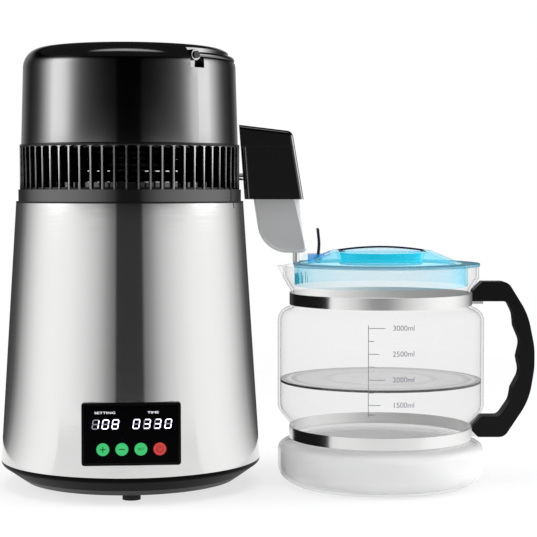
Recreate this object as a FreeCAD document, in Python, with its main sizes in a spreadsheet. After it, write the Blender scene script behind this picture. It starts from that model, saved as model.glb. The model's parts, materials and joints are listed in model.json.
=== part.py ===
import FreeCAD, Part
import math
import operator
import os
from types import SimpleNamespace

import Sketcher

# A countertop water distiller with its glass jug, in millimetres, +Z up.
# The still stands left of the jug, and its fill of steam leaves the head through a spout at +X.
# Every radius and height below is measured from the still's own axis or from the jug's own axis,
# with z from the worktop.
SIZES = {
    # Rubber feet and the black base below the steel shell.
    "foot_height": 5.0,
    "foot_radius": 7.5,
    "foot_inset": 17.7,
    "plate_thickness": 4.8,
    "plate_slope": 6.9,
    "plate_inset": 14.0,
    "ring_height": 12.9,
    "ring_wall": 3.0,
    "ring_flange": 14.0,
    "ring_round": 5.0,
    "screw_inset": 9.7,
    "screw_radius": 1.8,
    "screw_head_radius": 3.4,
    "screw_head_height": 2.2,
    # Tapered steel shell and the pot that hangs in it.
    "shell_radius": 111.7,
    "shell_rim_radius": 97.6,
    "shell_height": 220.0,
    "shell_wall": 1.0,
    "shell_lip": 3.4,
    "pot_rim_thickness": 1.5,
    "pot_radius": 90.0,
    "pot_rise": 41.5,
    "pot_wall": 1.2,
    "pot_corner": 14.0,
    # Heating element and its two thermal switches under the pot.
    "heater_radius": 70.0,
    "heater_thickness": 5.0,
    "element_radius": 4.0,
    "element_circle": 52.0,
    "element_angle": 320.0,
    "pin_radius": 2.0,
    "pin_length": 14.0,
    "switch_radius": 9.0,
    "switch_height": 7.0,
    "switch_offset": 26.0,
    # The front is turned a little toward the jug.
    "front_turn": 4.93,
    "panel_width": 79.6,
    "panel_height": 50.2,
    "panel_corner": 2.4,
    "panel_rise": 35.6,
    "panel_proud": 1.2,
    "bezel_depth": 12.5,
    "bezel_lip": 2.2,
    "bezel_ledge": 1.6,
    "window_recess": 0.6,
    "window_thickness": 1.6,
    "display_width": 66.0,
    "display_height": 15.0,
    "display_rise": 8.2,
    "button_drop": 12.2,
    "button_pitch": 15.2,
    "button_radius": 5.0,
    "button_proud": 0.5,
    "button_flange": 1.0,
    "button_flange_thickness": 1.0,
    "button_stem_radius": 1.6,
    "button_travel": 0.7,
    "board_depth": 9.2,
    "board_thickness": 1.6,
    "tact_size": 6.0,
    "tact_height": 2.6,
    # Mains inlet and the low-voltage outlet for the fan, both at the rear.
    "inlet_rise": 25.3,
    "inlet_width": 30.0,
    "inlet_height": 23.0,
    "inlet_depth": 21.0,
    "inlet_proud": 1.0,
    "inlet_wall": 2.4,
    "inlet_corner": 3.0,
    "contact_width": 4.0,
    "contact_thickness": 2.0,
    "contact_pitch": 7.0,
    "contact_rise": 4.0,
    "contact_length": 11.0,
    "jack_radius": 6.0,
    "jack_flange_thickness": 1.6,
    "jack_bore": 3.2,
    "jack_length": 7.0,
    "jack_pin_radius": 0.9,
    "outlet_drop": 20.7,
    "fan_inlet_rise": 25.6,
    # Steel pan of the condenser head and its seal in the pot's mouth.
    "pan_radius": 95.6,
    "pan_height": 9.9,
    "pan_wall": 1.2,
    "pan_step_radius": 80.0,
    "pan_step_height": 6.0,
    "gasket_height": 13.0,
    "gasket_width": 5.0,
    "gasket_clearance": 0.3,
    # Vent cage between the pan and the black cover.
    "vent_radius": 94.3,
    "vent_height": 38.3,
    "vent_count": 60,
    "rib_width": 2.6,
    "rib_depth": 6.3,
    "hoop_height": 2.6,
    "hoop_width": 5.0,
    # Steam riser, condenser coil and fins.
    "riser_radius": 13.0,
    "riser_wall": 1.2,
    "riser_flange": 5.0,
    "riser_height": 36.0,
    "coil_circle": 64.0,
    "coil_tube_radius": 4.0,
    "coil_link_radius": 3.0,
    "coil_turns": 3,
    "coil_pitch": 10.0,
    "coil_rise": 10.9,
    "fin_count": 48,
    "fin_depth": 8.0,
    "fin_thickness": 0.8,
    "fin_height": 32.0,
    "outlet_radius": 3.0,
    "outlet_bend": 12.0,
    # Fan.
    "blade_count": 7,
    "blade_radius": 76.0,
    "blade_thickness": 1.6,
    "blade_width": 26.0,
    "blade_pitch": 24.0,
    "hub_radius": 22.0,
    "hub_height": 15.0,
    "hub_rise": 11.6,
    "motor_radius": 25.0,
    "motor_height": 24.0,
    "shaft_radius": 2.5,
    "shaft_length": 12.0,
    "bracket_thickness": 2.5,
    "bracket_arm": 12.0,
    "bracket_arms": 3,
    # Black cover.
    "cover_radius": 93.0,
    "cover_top_radius": 90.6,
    "cover_height": 84.8,
    "cover_edge_drop": 4.4,
    "cover_crown": 44.0,
    "cover_round": 17.0,
    "crown_round": 300.0,
    "cover_wall": 2.5,
    "grille_radius": 38.0,
    "grille_thickness": 2.0,
    "grille_slots": 20,
    "grille_slot_width": 3.0,
    "grille_slot_length": 18.0,
    "grille_hub": 15.0,
    # Folding carry handle round the cover's rim.
    "bail_turn": -47.6,
    "bail_circle": 87.5,
    "bail_radius": 2.5,
    "bail_drop": 12.6,
    "bail_eye_radius": 4.6,
    "bail_eye_width": 4.0,
    "bail_clearance": 0.4,
    "ledge_wall": 2.6,
    "ledge_floor": 3.0,
    "notch_width": 14.4,
    "notch_drop": 10.6,
    "notch_wall": 2.0,
    "boss_depth": 6.0,
    "pivot_radius": 1.6,
    "pivot_depth": 5.0,
    "pivot_head_radius": 3.0,
    "pivot_head_thickness": 1.0,
    # Spout: black housing with a lift-off cap, steel nozzle, filter and drip tube.
    "spout_gap": 1.8,
    "spout_root_shift": 4.7,
    "spout_top_length": 45.4,
    "spout_bottom_length": 50.4,
    "spout_fall": 5.5,
    "spout_half_width": 22.0,
    "spout_drop": 8.3,
    "spout_seam_height": 44.5,
    "spout_height": 63.3,
    "spout_wall": 1.8,
    "spout_root_round": 5.0,
    "spout_nose_round": 3.4,
    "spout_brow_round": 6.0,
    "seam_gap": 0.3,
    "cap_lip_height": 4.0,
    "cap_lip_wall": 1.4,
    "fit_gap": 0.2,
    "nozzle_left": 106.7,
    "nozzle_right": 147.2,
    "nozzle_clearance": 9.4,
    "nozzle_left_lean": 0.153,
    "nozzle_right_lean": 0.131,
    "nozzle_half_width": 17.0,
    "nozzle_wall": 1.6,
    "nozzle_flange": 1.6,
    "nozzle_tail_round": 26.0,
    "nozzle_tip_round": 5.0,
    "nozzle_edge_round": 3.0,
    "filter_radius": 12.0,
    "filter_rise": 11.5,
    "filter_headroom": 5.3,
    "filter_shift": -0.3,
    "drip_radius": 2.8,
    "drip_bore": 1.9,
    "drip_shift": 11.7,
    "drip_gap": 1.2,
    # Jug, on its own axis.
    "jug_distance": 216.5,
    "jug_radius": 89.1,
    "jug_height": 188.3,
    "glass_wall": 2.2,
    "neck_radius": 77.8,
    "foot_bulge_height": 34.0,
    "lower_neck_z": 38.0,
    "body_z": 51.2,
    "body_rise": 14.0,
    "shoulder_drop": 37.8,
    "upper_neck_drop": 35.3,
    "flare_drop": 21.1,
    "flare_rise": 11.0,
    "rim_radius": 84.7,
    "pushup_radius": 62.0,
    "pushup_height": 1.6,
    "base_round": 17.0,
    "foot_round": 7.0,
    "neck_round": 2.4,
    "shoulder_round": 12.0,
    "beak_shift": 74.2,
    "beak_radius": 15.2,
    "beak_rise": 19.0,
    "beak_point": 0.35,
    # Steel straps round the two necks.
    "band_thickness": 0.9,
    "band_gap": 0.2,
    "band_height": 10.0,
    "ear_length": 10.0,
    "ear_thickness": 2.0,
    # Black handle.
    "handle_reach": 132.4,
    "handle_half_width": 9.5,
    "handle_top_drop": 13.5,
    "handle_bottom_z": 40.3,
    "handle_shoulder_inset": 23.2,
    "handle_neck_inset": 5.9,
    "handle_calf_inset": 4.4,
    "handle_heel_inset": 25.6,
    "handle_neck_share": 0.793,
    "handle_back_high_share": 0.578,
    "handle_back_low_share": 0.444,
    "handle_calf_share": 0.239,
    "handle_arm": 16.9,
    "handle_low_arm": 18.0,
    "handle_round": 9.0,
    "handle_inner_round": 6.0,
    "handle_back_round": 60.0,
    "handle_root_chamfer": 5.0,
    "handle_root_rise": 2.0,
    "handle_throat": 8.0,
    "grip_shoulder_inset": 23.4,
    "grip_high_inset": 18.2,
    "grip_low_inset": 20.6,
    "grip_heel_inset": 29.9,
    "grip_high_share": 0.891,
    "grip_low_share": 0.138,
    "ridge_high_inset": 17.0,
    "ridge_middle_inset": 14.4,
    "ridge_low_inset": 18.8,
    "ridge_share": 0.511,
    "ridge_pitch_share": 0.266,
    "ridge_round": 4.0,
    "hollow_high_inset": 11.4,
    "hollow_low_inset": 11.8,
    "hollow_round": 14.0,
    "clamp_radius": 1.5,
    "clamp_head_radius": 2.8,
    "clamp_head_depth": 1.6,
    "clamp_depth": 6.0,
    # Lid.
    "lid_radius": 85.4,
    "lid_thickness": 2.3,
    "lid_wall": 2.0,
    "lid_cut": 75.3,
    "skirt_gap": 0.5,
    "skirt_wall": 2.0,
    "skirt_depth": 17.0,
    "dome_radius": 70.0,
    "dome_rise": 11.2,
    "dome_foot_round": 4.0,
    "dome_top_round": 4.0,
    "plateau_radius": 43.0,
    "bowl_radius": 36.0,
    "bowl_slope": 2.0,
    "bowl_depth": 10.0,
    "grip_web": 5.0,
    "grip_rise": 3.5,
    "grip_arch": 235.0,
    "mouth_half_width": 7.0,
    "mouth_gap": 0.13,
    "hatch_reach": 49.2,
    "strainer_count": 4,
    "strainer_width": 2.4,
    "strainer_turn": 7.0,
    "strainer_start": 9.0,
    "strainer_height": 10.0,
    "ear_half_span": 12.4,
    "ear_width": 3.6,
    "ear_left": 68.2,
    "ear_right": 50.6,
    "ear_rise": 7.8,
    "ear_round": 3.0,
    "hinge_x": 54.6,
    "hinge_rise": 3.0,
    "hinge_pin_radius": 1.2,
    "hinge_gap": 0.3,
    "knuckle_radius": 2.7,
    "knuckle_gap": 0.4,
    "flap_length": 27.0,
    "flap_thickness": 1.8,
    "flap_bow": 1.4,
    "flap_round": 40.0,
}


class Size:
    """A size together with the spreadsheet expression that it comes from."""

    def __init__(self, value, text):
        self.value = value
        self.text = text

    def __add__(self, other):
        return joined(self, "+", other, operator.add)

    def __radd__(self, other):
        return joined(other, "+", self, operator.add)

    def __sub__(self, other):
        return joined(self, "-", other, operator.sub)

    def __rsub__(self, other):
        return joined(other, "-", self, operator.sub)

    def __mul__(self, other):
        return joined(self, "*", other, operator.mul)

    def __rmul__(self, other):
        return joined(other, "*", self, operator.mul)

    def __truediv__(self, other):
        return joined(self, "/", other, operator.truediv)

    def __rtruediv__(self, other):
        return joined(other, "/", self, operator.truediv)

    def __neg__(self):
        return Size(-self.value, f"(-{self.text})")


def as_size(number):
    if isinstance(number, Size):
        return number
    return Size(float(number), f"({float(number):.9g})")


def joined(left, symbol, right, combine):
    a = as_size(left)
    b = as_size(right)
    return Size(combine(a.value, b.value), f"({a.text} {symbol} {b.text})")


def sine(angle):
    return Size(math.sin(math.radians(angle.value)), f"sin({angle.text})")


def cosine(angle):
    return Size(math.cos(math.radians(angle.value)), f"cos({angle.text})")


def arctangent(ratio):
    return Size(math.degrees(math.atan(ratio.value)), f"atan({ratio.text})")


def square_root(number):
    return Size(math.sqrt(number.value), f"sqrt({number.text})")


S = SimpleNamespace(**{name: Size(float(value), f"Sizes.{name}") for name, value in SIZES.items()})

# Heights, from the worktop up.
PLATE_Z = S.foot_height
RING_Z = PLATE_Z + S.plate_thickness
SHELL_Z = RING_Z + S.ring_height
RIM_Z = SHELL_Z + S.shell_height
HEAD_Z = RIM_Z + S.pot_rim_thickness
POT_Z = SHELL_Z + S.pot_rise
HEATER_Z = POT_Z - S.heater_thickness
PAN_Z = HEAD_Z + S.pan_height
COVER_Z = PAN_Z + S.vent_height
CROWN_Z = COVER_Z + S.cover_height
PANEL_Z = SHELL_Z + S.panel_rise
INLET_Z = SHELL_Z + S.inlet_rise
OUTLET_Z = RIM_Z - S.outlet_drop
COIL_Z = PAN_Z + S.coil_rise
COIL_TOP_Z = COIL_Z + S.coil_pitch * (S.coil_turns - 1)
HUB_Z = COVER_Z + S.hub_rise
FAN_INLET_Z = COVER_Z + S.fan_inlet_rise
BAIL_Z = CROWN_Z - S.bail_drop
SPOUT_Z = PAN_Z - S.spout_drop
SEAM_Z = SPOUT_Z + S.spout_seam_height
SPOUT_TOP_Z = SPOUT_Z + S.spout_height
LID_TOP = S.jug_height + S.lid_thickness
NOZZLE_Z = LID_TOP + S.nozzle_clearance
FILTER_Z = NOZZLE_Z + S.filter_rise
DRIP_Z = LID_TOP + S.drip_gap

# Radii of the base, which follow the shell that stands on it.
PLATE_RADIUS = S.shell_radius - S.plate_inset
FOOT_CIRCLE = PLATE_RADIUS - S.foot_inset
SCREW_CIRCLE = PLATE_RADIUS - S.screw_inset

# The part's origin is under the middle of its length, between the shell and the jug's handle.
STILL_X = (S.shell_radius - S.jug_distance - S.handle_reach) / 2
JUG_X = STILL_X + S.jug_distance

# The shell narrows by this much for each millimetre of height.
SHELL_TAPER = (S.shell_radius - S.shell_rim_radius) / S.shell_height
COVER_TAPER = (S.cover_radius - S.cover_top_radius) / (S.cover_height - S.cover_edge_drop)


def shell_radius_at(z):
    return S.shell_radius - (z - SHELL_Z) * SHELL_TAPER


def cover_radius_at(z):
    return S.cover_radius - (z - COVER_Z) * COVER_TAPER


document = FreeCAD.newDocument("Distiller")
sheet = document.addObject("Spreadsheet::Sheet", "Sizes")
for row, (alias, number) in enumerate(SIZES.items(), start=1):
    sheet.set(f"A{row}", alias)
    sheet.set(f"B{row}", str(number))
    sheet.setAlias(f"B{row}", alias)
document.recompute()

nodes = []


def bind(item, name, size):
    item.setExpression(name, as_size(size).text)


def base_placement(body):
    """Base unit: on the still's axis, with its front turned toward the jug."""
    body.setExpression(
        "Placement",
        f"placement(vector({STILL_X.text}; 0; 0); rotation(vector(0; 0; 1); {S.front_turn.text}))",
    )


def head_placement(body):
    bind(body, "Placement.Base.x", STILL_X)


def jug_placement(body):
    bind(body, "Placement.Base.x", JUG_X)


def panel_placement(body):
    """Control panel: flat on the shell's front line, leaning back with the shell's taper."""
    reach = shell_radius_at(PANEL_Z) + S.panel_proud
    x = STILL_X + reach * sine(S.front_turn)
    y = -(reach * cosine(S.front_turn))
    lean = arctangent(SHELL_TAPER)
    body.setExpression(
        "Placement",
        f"placement(vector({x.text}; {y.text}; {PANEL_Z.text}); "
        f"rotation(vector(0; 0; 1); {S.front_turn.text}) * rotation(vector(1; 0; 0); -{lean.text}))",
    )


def new_body(name, place):
    body = document.addObject("PartDesign::Body", name)
    body.Label = name
    body.AllowCompound = True
    place(body)
    nodes.append(body)
    return body


# Axes about which a sketch is turned: its own normal, or its horizontal axis.
SPUN = (0, 0, 1)
LEANED = (1, 0, 0)


def new_sketch(body, plane, offset=0, rise=0, twist=None):
    """Sketch on an origin plane, moved along its normal and up its vertical axis, and twisted there."""
    sketch = body.newObject("Sketcher::SketchObject", f"{body.Name}_sketch")
    role = f"{plane}_Plane"
    origin_plane = [item for item in body.Origin.OriginFeatures if item.Role == role][0]
    sketch.AttachmentSupport = [(origin_plane, "")]
    sketch.MapMode = "FlatFace"
    if twist is not None:
        axis, angle = twist
        rotation = FreeCAD.Rotation(FreeCAD.Vector(*axis), 1)
        sketch.AttachmentOffset = FreeCAD.Placement(FreeCAD.Vector(), rotation)
        bind(sketch, "AttachmentOffset.Rotation.Angle", angle)
    bind(sketch, "AttachmentOffset.Base.y", rise)
    bind(sketch, "AttachmentOffset.Base.z", offset)
    return sketch


def fix(sketch, kind, *places, size):
    index = sketch.addConstraint(Sketcher.Constraint(kind, *places, as_size(size).value))
    bind(sketch, f"Constraints[{index}]", size)


def draw_loop(sketch, corners):
    """Closed outline through corners (x, y) or (x, y, rounding radius)."""
    points = [(as_size(corner[0]), as_size(corner[1])) for corner in corners]
    first = sketch.GeometryCount
    count = len(points)
    for start, end in zip(points, points[1:] + points[:1]):
        sketch.addGeometry(
            Part.LineSegment(
                FreeCAD.Vector(start[0].value, start[1].value, 0),
                FreeCAD.Vector(end[0].value, end[1].value, 0),
            )
        )
    for index in range(count):
        after = first + (index + 1) % count
        sketch.addConstraint(Sketcher.Constraint("Coincident", first + index, 2, after, 1))
    for index, (x, y) in enumerate(points):
        fix(sketch, "DistanceX", -1, 1, first + index, 1, size=x)
        fix(sketch, "DistanceY", -1, 1, first + index, 1, size=y)
    for index, corner in enumerate(corners):
        if len(corner) == 3:
            radius = as_size(corner[2])
            known = sketch.GeometryCount
            sketch.fillet(first + index, 1, radius.value, True, True)
            arcs = [
                item
                for item in range(known, sketch.GeometryCount)
                if sketch.Geometry[item].TypeId == "Part::GeomArcOfCircle"
            ]
            fix(sketch, "Radius", arcs[0], size=radius)


def draw_circle(sketch, x, y, radius):
    index = sketch.addGeometry(
        Part.Circle(
            FreeCAD.Vector(as_size(x).value, as_size(y).value, 0),
            FreeCAD.Vector(0, 0, 1),
            as_size(radius).value,
        )
    )
    fix(sketch, "DistanceX", -1, 1, index, 3, size=x)
    fix(sketch, "DistanceY", -1, 1, index, 3, size=y)
    fix(sketch, "Radius", index, size=radius)


def block(left, right, low, high, *rounding):
    """Corners of an upright rectangle, rounded where a radius is given."""
    return [
        (left, low, *rounding),
        (right, low, *rounding),
        (right, high, *rounding),
        (left, high, *rounding),
    ]


def turn(body, corners, angle=360):
    """Solid of revolution about Z from an outline of (radius, height) corners."""
    sketch = new_sketch(body, "XZ")
    draw_loop(sketch, corners)
    feature = body.newObject("PartDesign::Revolution", f"{body.Name}_turned")
    feature.Profile = sketch
    feature.ReferenceAxis = (sketch, ["V_Axis"])
    bind(feature, "Angle", angle)
    return feature


def turn_groove(body, corners, angle=360):
    sketch = new_sketch(body, "XZ")
    draw_loop(sketch, corners)
    feature = body.newObject("PartDesign::Groove", f"{body.Name}_groove")
    feature.Profile = sketch
    feature.ReferenceAxis = (sketch, ["V_Axis"])
    bind(feature, "Angle", angle)
    return feature


def draw(sketch, shape):
    if isinstance(shape, list):
        draw_loop(sketch, shape)
    else:
        draw_circle(sketch, *shape)


def slab(body, plane, shape, low, high, rise=0, twist=None):
    """Adds a straight-sided solid between two heights above an origin plane.

    The heights run along +Z, +Y or +X for the XY, XZ and YZ planes.
    """
    flip = plane == "XZ"
    sketch = new_sketch(body, plane, -as_size(low) if flip else low, rise, twist)
    draw(sketch, shape)
    feature = body.newObject("PartDesign::Pad", f"{body.Name}_pad")
    feature.Profile = sketch
    feature.Reversed = flip
    bind(feature, "Length", as_size(high) - low)
    return feature


def cut(body, plane, shape, low, high, rise=0, twist=None):
    """Removes a straight-sided solid between two heights above an origin plane."""
    flip = plane == "XZ"
    sketch = new_sketch(body, plane, -as_size(low) if flip else low, rise, twist)
    draw(sketch, shape)
    feature = body.newObject("PartDesign::Pocket", f"{body.Name}_pocket")
    feature.Profile = sketch
    feature.Reversed = not flip
    bind(feature, "Length", as_size(high) - low)
    return feature


def repeat(body, feature, count, angle=360):
    """Copies a feature round the body's Z axis."""
    axis = [item for item in body.Origin.OriginFeatures if item.Role == "Z_Axis"][0]
    pattern = body.newObject("PartDesign::PolarPattern", f"{body.Name}_pattern")
    pattern.Originals = [feature]
    pattern.Axis = (axis, [""])
    bind(pattern, "Angle", angle)
    bind(pattern, "Occurrences", count)
    body.Tip = pattern
    return pattern


def round_edges(body, base, radius, chosen):
    """Rounds the edges of the body's last feature that the given test picks."""
    document.recompute()
    names = [f"Edge{index}" for index, edge in enumerate(base.Shape.Edges, start=1) if chosen(edge)]
    feature = body.newObject("PartDesign::Fillet", f"{body.Name}_round")
    feature.Base = (base, names)
    bind(feature, "Radius", radius)
    return feature


def inset(corners, wall):
    """Corners of an anticlockwise outline moved inward, square to its sides, by a wall."""
    moved = []
    count = len(corners)
    for index in range(count):
        before, here, after = (corners[(index + step) % count] for step in (-1, 0, 1))
        first = unit_normal(before, here)
        second = unit_normal(here, after)
        spread = 1 + first[0] * second[0] + first[1] * second[1]
        x = as_size(here[0]) + wall * ((first[0] + second[0]) / spread)
        y = as_size(here[1]) + wall * ((first[1] + second[1]) / spread)
        bulges = first[0] * second[1] - first[1] * second[0] > 0
        rounding = [radius - wall if bulges else radius + wall for radius in here[2:]]
        moved.append((x, y, *rounding))
    return moved


def unit_normal(start, end):
    """Left-hand normal of a side, which points inward on an anticlockwise outline."""
    x = as_size(end[0]).value - as_size(start[0]).value
    y = as_size(end[1]).value - as_size(start[1]).value
    length = math.hypot(x, y)
    return (-y / length, x / length)


# ---- Base unit ----


def make_feet():
    for index, side in enumerate(("front", "right", "back", "left")):
        angle = math.radians(90 * index - 90)
        body = new_body(f"foot_{side}", base_placement)
        x = FOOT_CIRCLE * round(math.cos(angle))
        y = FOOT_CIRCLE * round(math.sin(angle))
        slab(body, "XY", (x, y, S.foot_radius), 0, S.foot_height)


def make_base_plate():
    body = new_body("base_plate", base_placement)
    turn(
        body,
        [
            (0, PLATE_Z),
            (PLATE_RADIUS - S.plate_slope, PLATE_Z),
            (PLATE_RADIUS, RING_Z),
            (0, RING_Z),
        ],
    )
    hole = S.screw_radius + S.fit_gap
    drilled = cut(body, "XY", (screw_x(), screw_x(), hole), PLATE_Z, RING_Z)
    sunk = S.screw_head_radius + S.fit_gap
    depth = PLATE_Z + S.screw_head_height
    sinking = cut(body, "XY", (screw_x(), screw_x(), sunk), PLATE_Z, depth)
    repeat_screws(body, [drilled, sinking])


def screw_x():
    """The four base screws stand midway between the feet."""
    return SCREW_CIRCLE * math.sqrt(0.5)


def repeat_screws(body, features):
    pattern = repeat(body, features[0], 4)
    pattern.Originals = features


def make_base_screws():
    corners = [(1, 1), (-1, 1), (-1, -1), (1, -1)]
    for index, (right, back) in enumerate(corners, start=1):
        body = new_body(f"base_screw_{index}", base_placement)
        x = screw_x() * right
        y = screw_x() * back
        top = PLATE_Z + S.screw_head_height
        slab(body, "XY", (x, y, S.screw_head_radius), PLATE_Z, top)
        slab(body, "XY", (x, y, S.screw_radius), top, RING_Z + S.ring_wall)


def make_base_ring():
    body = new_body("base_ring", base_placement)
    turn(
        body,
        [
            (PLATE_RADIUS - S.ring_flange, RING_Z),
            (PLATE_RADIUS, RING_Z),
            (S.shell_radius, SHELL_Z - S.ring_wall, S.ring_round),
            (S.shell_radius, SHELL_Z),
            (S.shell_radius - S.ring_wall, SHELL_Z),
            (S.shell_radius - S.ring_wall, SHELL_Z - S.ring_wall, S.ring_round - S.ring_wall),
            (PLATE_RADIUS - S.ring_wall, RING_Z + S.ring_wall),
            (PLATE_RADIUS - S.ring_flange, RING_Z + S.ring_wall),
        ],
    )
    hole = S.screw_radius + S.fit_gap
    drilled = cut(body, "XY", (screw_x(), screw_x(), hole), RING_Z, RING_Z + S.ring_wall)
    repeat(body, drilled, 4)


def make_outer_shell():
    body = new_body("outer_shell", base_placement)
    turn(
        body,
        [
            (S.shell_radius - S.shell_lip, SHELL_Z),
            (S.shell_radius, SHELL_Z),
            (S.shell_rim_radius, RIM_Z),
            (S.shell_rim_radius - S.shell_wall, RIM_Z),
            (S.shell_radius - S.shell_wall, SHELL_Z + S.shell_wall),
            (S.shell_radius - S.shell_lip, SHELL_Z + S.shell_wall),
        ],
    )
    lean = arctangent(SHELL_TAPER)
    wide = S.panel_width / 2 + S.fit_gap
    tall = S.panel_height / 2 + S.fit_gap
    reach = shell_radius_at(PANEL_Z) + S.panel_proud
    window = block(-wide, wide, -tall, tall, S.panel_corner)
    depth = S.bezel_depth + S.panel_proud
    cut(body, "XZ", window, -reach, depth - reach, PANEL_Z, (LEANED, -lean))
    side = S.inlet_width / 2 + S.fit_gap
    height = S.inlet_height / 2 + S.fit_gap
    inlet = block(-side, side, INLET_Z - height, INLET_Z + height, S.inlet_corner)
    back = shell_radius_at(INLET_Z)
    cut(body, "XZ", inlet, back - S.inlet_depth, back + S.inlet_proud)
    jack_back = shell_radius_at(OUTLET_Z)
    jack = (0, OUTLET_Z, S.jack_radius + S.fit_gap)
    cut(body, "XZ", jack, jack_back - S.jack_length, jack_back + S.inlet_proud)


def make_boiler_pot():
    body = new_body("boiler_pot", base_placement)
    inner_round = S.pot_corner - S.pot_wall
    turn(
        body,
        [
            (0, POT_Z),
            (S.pot_radius, POT_Z, S.pot_corner),
            (S.pot_radius, RIM_Z),
            (S.shell_rim_radius, RIM_Z),
            (S.shell_rim_radius, HEAD_Z),
            (S.pot_radius - S.pot_wall, HEAD_Z),
            (S.pot_radius - S.pot_wall, POT_Z + S.pot_wall, inner_round),
            (0, POT_Z + S.pot_wall),
        ],
    )


def make_heater():
    plate = new_body("heater_plate", base_placement)
    slab(plate, "XY", (0, 0, S.heater_radius), HEATER_Z, POT_Z)
    ring = new_body("heater_element", base_placement)
    level = HEATER_Z - S.element_radius
    sketch = new_sketch(ring, "XZ")
    draw_circle(sketch, S.element_circle, level, S.element_radius)
    feature = ring.newObject("PartDesign::Revolution", "element_ring")
    feature.Profile = sketch
    feature.ReferenceAxis = (sketch, ["V_Axis"])
    bind(feature, "Angle", S.element_angle)
    end_x = S.element_circle * cosine(S.element_angle)
    end_y = S.element_circle * sine(S.element_angle)
    bottom = level - S.pin_length
    slab(ring, "XY", (S.element_circle, 0, S.pin_radius), bottom, level)
    slab(ring, "XY", (end_x, end_y, S.pin_radius), bottom, level)
    for name, x in (("thermostat", 0), ("dry_cutout", S.switch_offset)):
        switch = new_body(name, base_placement)
        slab(switch, "XY", (x, 0, S.switch_radius), HEATER_Z - S.switch_height, HEATER_Z)


# ---- Control panel, in its own frame: x right, z up the face, y inward from the front ----


BUTTON_Z = -S.button_drop


def button_xs():
    return [S.button_pitch * step for step in (-1.5, -0.5, 0.5, 1.5)]


def make_bezel():
    body = new_body("panel_bezel", panel_placement)
    wide = S.panel_width / 2
    tall = S.panel_height / 2
    slab(body, "XZ", block(-wide, wide, -tall, tall, S.panel_corner), 0, S.bezel_depth)
    wide = wide - S.bezel_lip
    tall = tall - S.bezel_lip
    seat = S.window_recess + S.window_thickness
    cut(body, "XZ", block(-wide, wide, -tall, tall), 0, seat)
    wide = wide - S.bezel_ledge
    tall = tall - S.bezel_ledge
    cut(body, "XZ", block(-wide, wide, -tall, tall), seat, S.bezel_depth)


def make_window():
    body = new_body("display_window", panel_placement)
    wide = S.panel_width / 2 - S.bezel_lip - S.fit_gap
    tall = S.panel_height / 2 - S.bezel_lip - S.fit_gap
    back = S.window_recess + S.window_thickness
    slab(body, "XZ", block(-wide, wide, -tall, tall), S.window_recess, back)
    for x in button_xs():
        hole = (x, BUTTON_Z, S.button_radius + S.fit_gap)
        cut(body, "XZ", hole, S.window_recess, back)


def make_display_module():
    body = new_body("display_module", panel_placement)
    wide = S.display_width / 2
    low = S.display_rise - S.display_height / 2
    front = S.window_recess + S.window_thickness
    outline = block(-wide, wide, low, low + S.display_height)
    slab(body, "XZ", outline, front, S.board_depth)


def make_control_board():
    body = new_body("control_board", panel_placement)
    edge = S.bezel_lip + S.bezel_ledge + S.fit_gap
    wide = S.panel_width / 2 - edge
    tall = S.panel_height / 2 - edge
    back = S.board_depth + S.board_thickness
    slab(body, "XZ", block(-wide, wide, -tall, tall), S.board_depth, back)
    half = S.tact_size / 2
    for x in button_xs():
        outline = block(x - half, x + half, BUTTON_Z - half, BUTTON_Z + half)
        slab(body, "XZ", outline, S.board_depth - S.tact_height, S.board_depth)


def make_buttons():
    front = S.window_recess - S.button_proud
    flange = S.window_recess + S.window_thickness + S.fit_gap
    flange_back = flange + S.button_flange_thickness
    stem_end = S.board_depth - S.tact_height - S.button_travel - S.fit_gap / 2
    for name, x in zip(("plus", "minus", "set", "power"), button_xs()):
        body = new_body(f"button_{name}", panel_placement)
        slab(body, "XZ", (x, BUTTON_Z, S.button_radius), front, flange)
        brim = (x, BUTTON_Z, S.button_radius + S.button_flange)
        slab(body, "XZ", brim, flange, flange_back)
        slab(body, "XZ", (x, BUTTON_Z, S.button_stem_radius), flange_back, stem_end)


# ---- Sockets at the rear ----


def make_power_inlet():
    body = new_body("power_inlet", base_placement)
    back = shell_radius_at(INLET_Z) + S.inlet_proud
    front = back - S.inlet_depth
    side = S.inlet_width / 2
    height = S.inlet_height / 2
    outline = block(-side, side, INLET_Z - height, INLET_Z + height, S.inlet_corner)
    slab(body, "XZ", outline, front, back)
    side = side - S.inlet_wall
    height = height - S.inlet_wall
    hollow = block(-side, side, INLET_Z - height, INLET_Z + height)
    cut(body, "XZ", hollow, front + S.inlet_wall, back)
    for x, z in contact_places():
        wide = S.contact_thickness / 2 + S.fit_gap
        tall = S.contact_width / 2 + S.fit_gap
        slot = block(x - wide, x + wide, z - tall, z + tall)
        cut(body, "XZ", slot, front, front + S.inlet_wall)


def contact_places():
    low = INLET_Z - S.contact_rise / 2
    high = INLET_Z + S.contact_rise / 2
    return [(-S.contact_pitch, low), (0 * S.contact_pitch, high), (S.contact_pitch, low)]


def make_inlet_contacts():
    body = new_body("inlet_contacts", base_placement)
    front = shell_radius_at(INLET_Z) + S.inlet_proud - S.inlet_depth
    side = S.contact_pitch + S.contact_width
    height = S.contact_width + S.contact_rise / 2
    carrier = block(-side, side, INLET_Z - height, INLET_Z + height)
    slab(body, "XZ", carrier, front - S.inlet_wall, front)
    for x, z in contact_places():
        wide = S.contact_thickness / 2
        tall = S.contact_width / 2
        blade = block(x - wide, x + wide, z - tall, z + tall)
        slab(body, "XZ", blade, front, front + S.inlet_wall + S.contact_length)


def make_jack(name, place, z, wall_radius):
    body = new_body(name, place)
    front = wall_radius - S.jack_length
    back = wall_radius + S.inlet_proud
    slab(body, "XZ", (0, z, S.jack_radius), front, back)
    cut(body, "XZ", (0, z, S.jack_bore), front + S.jack_flange_thickness, back)
    slab(body, "XZ", (0, z, S.jack_pin_radius), front, back - S.jack_flange_thickness)


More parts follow.
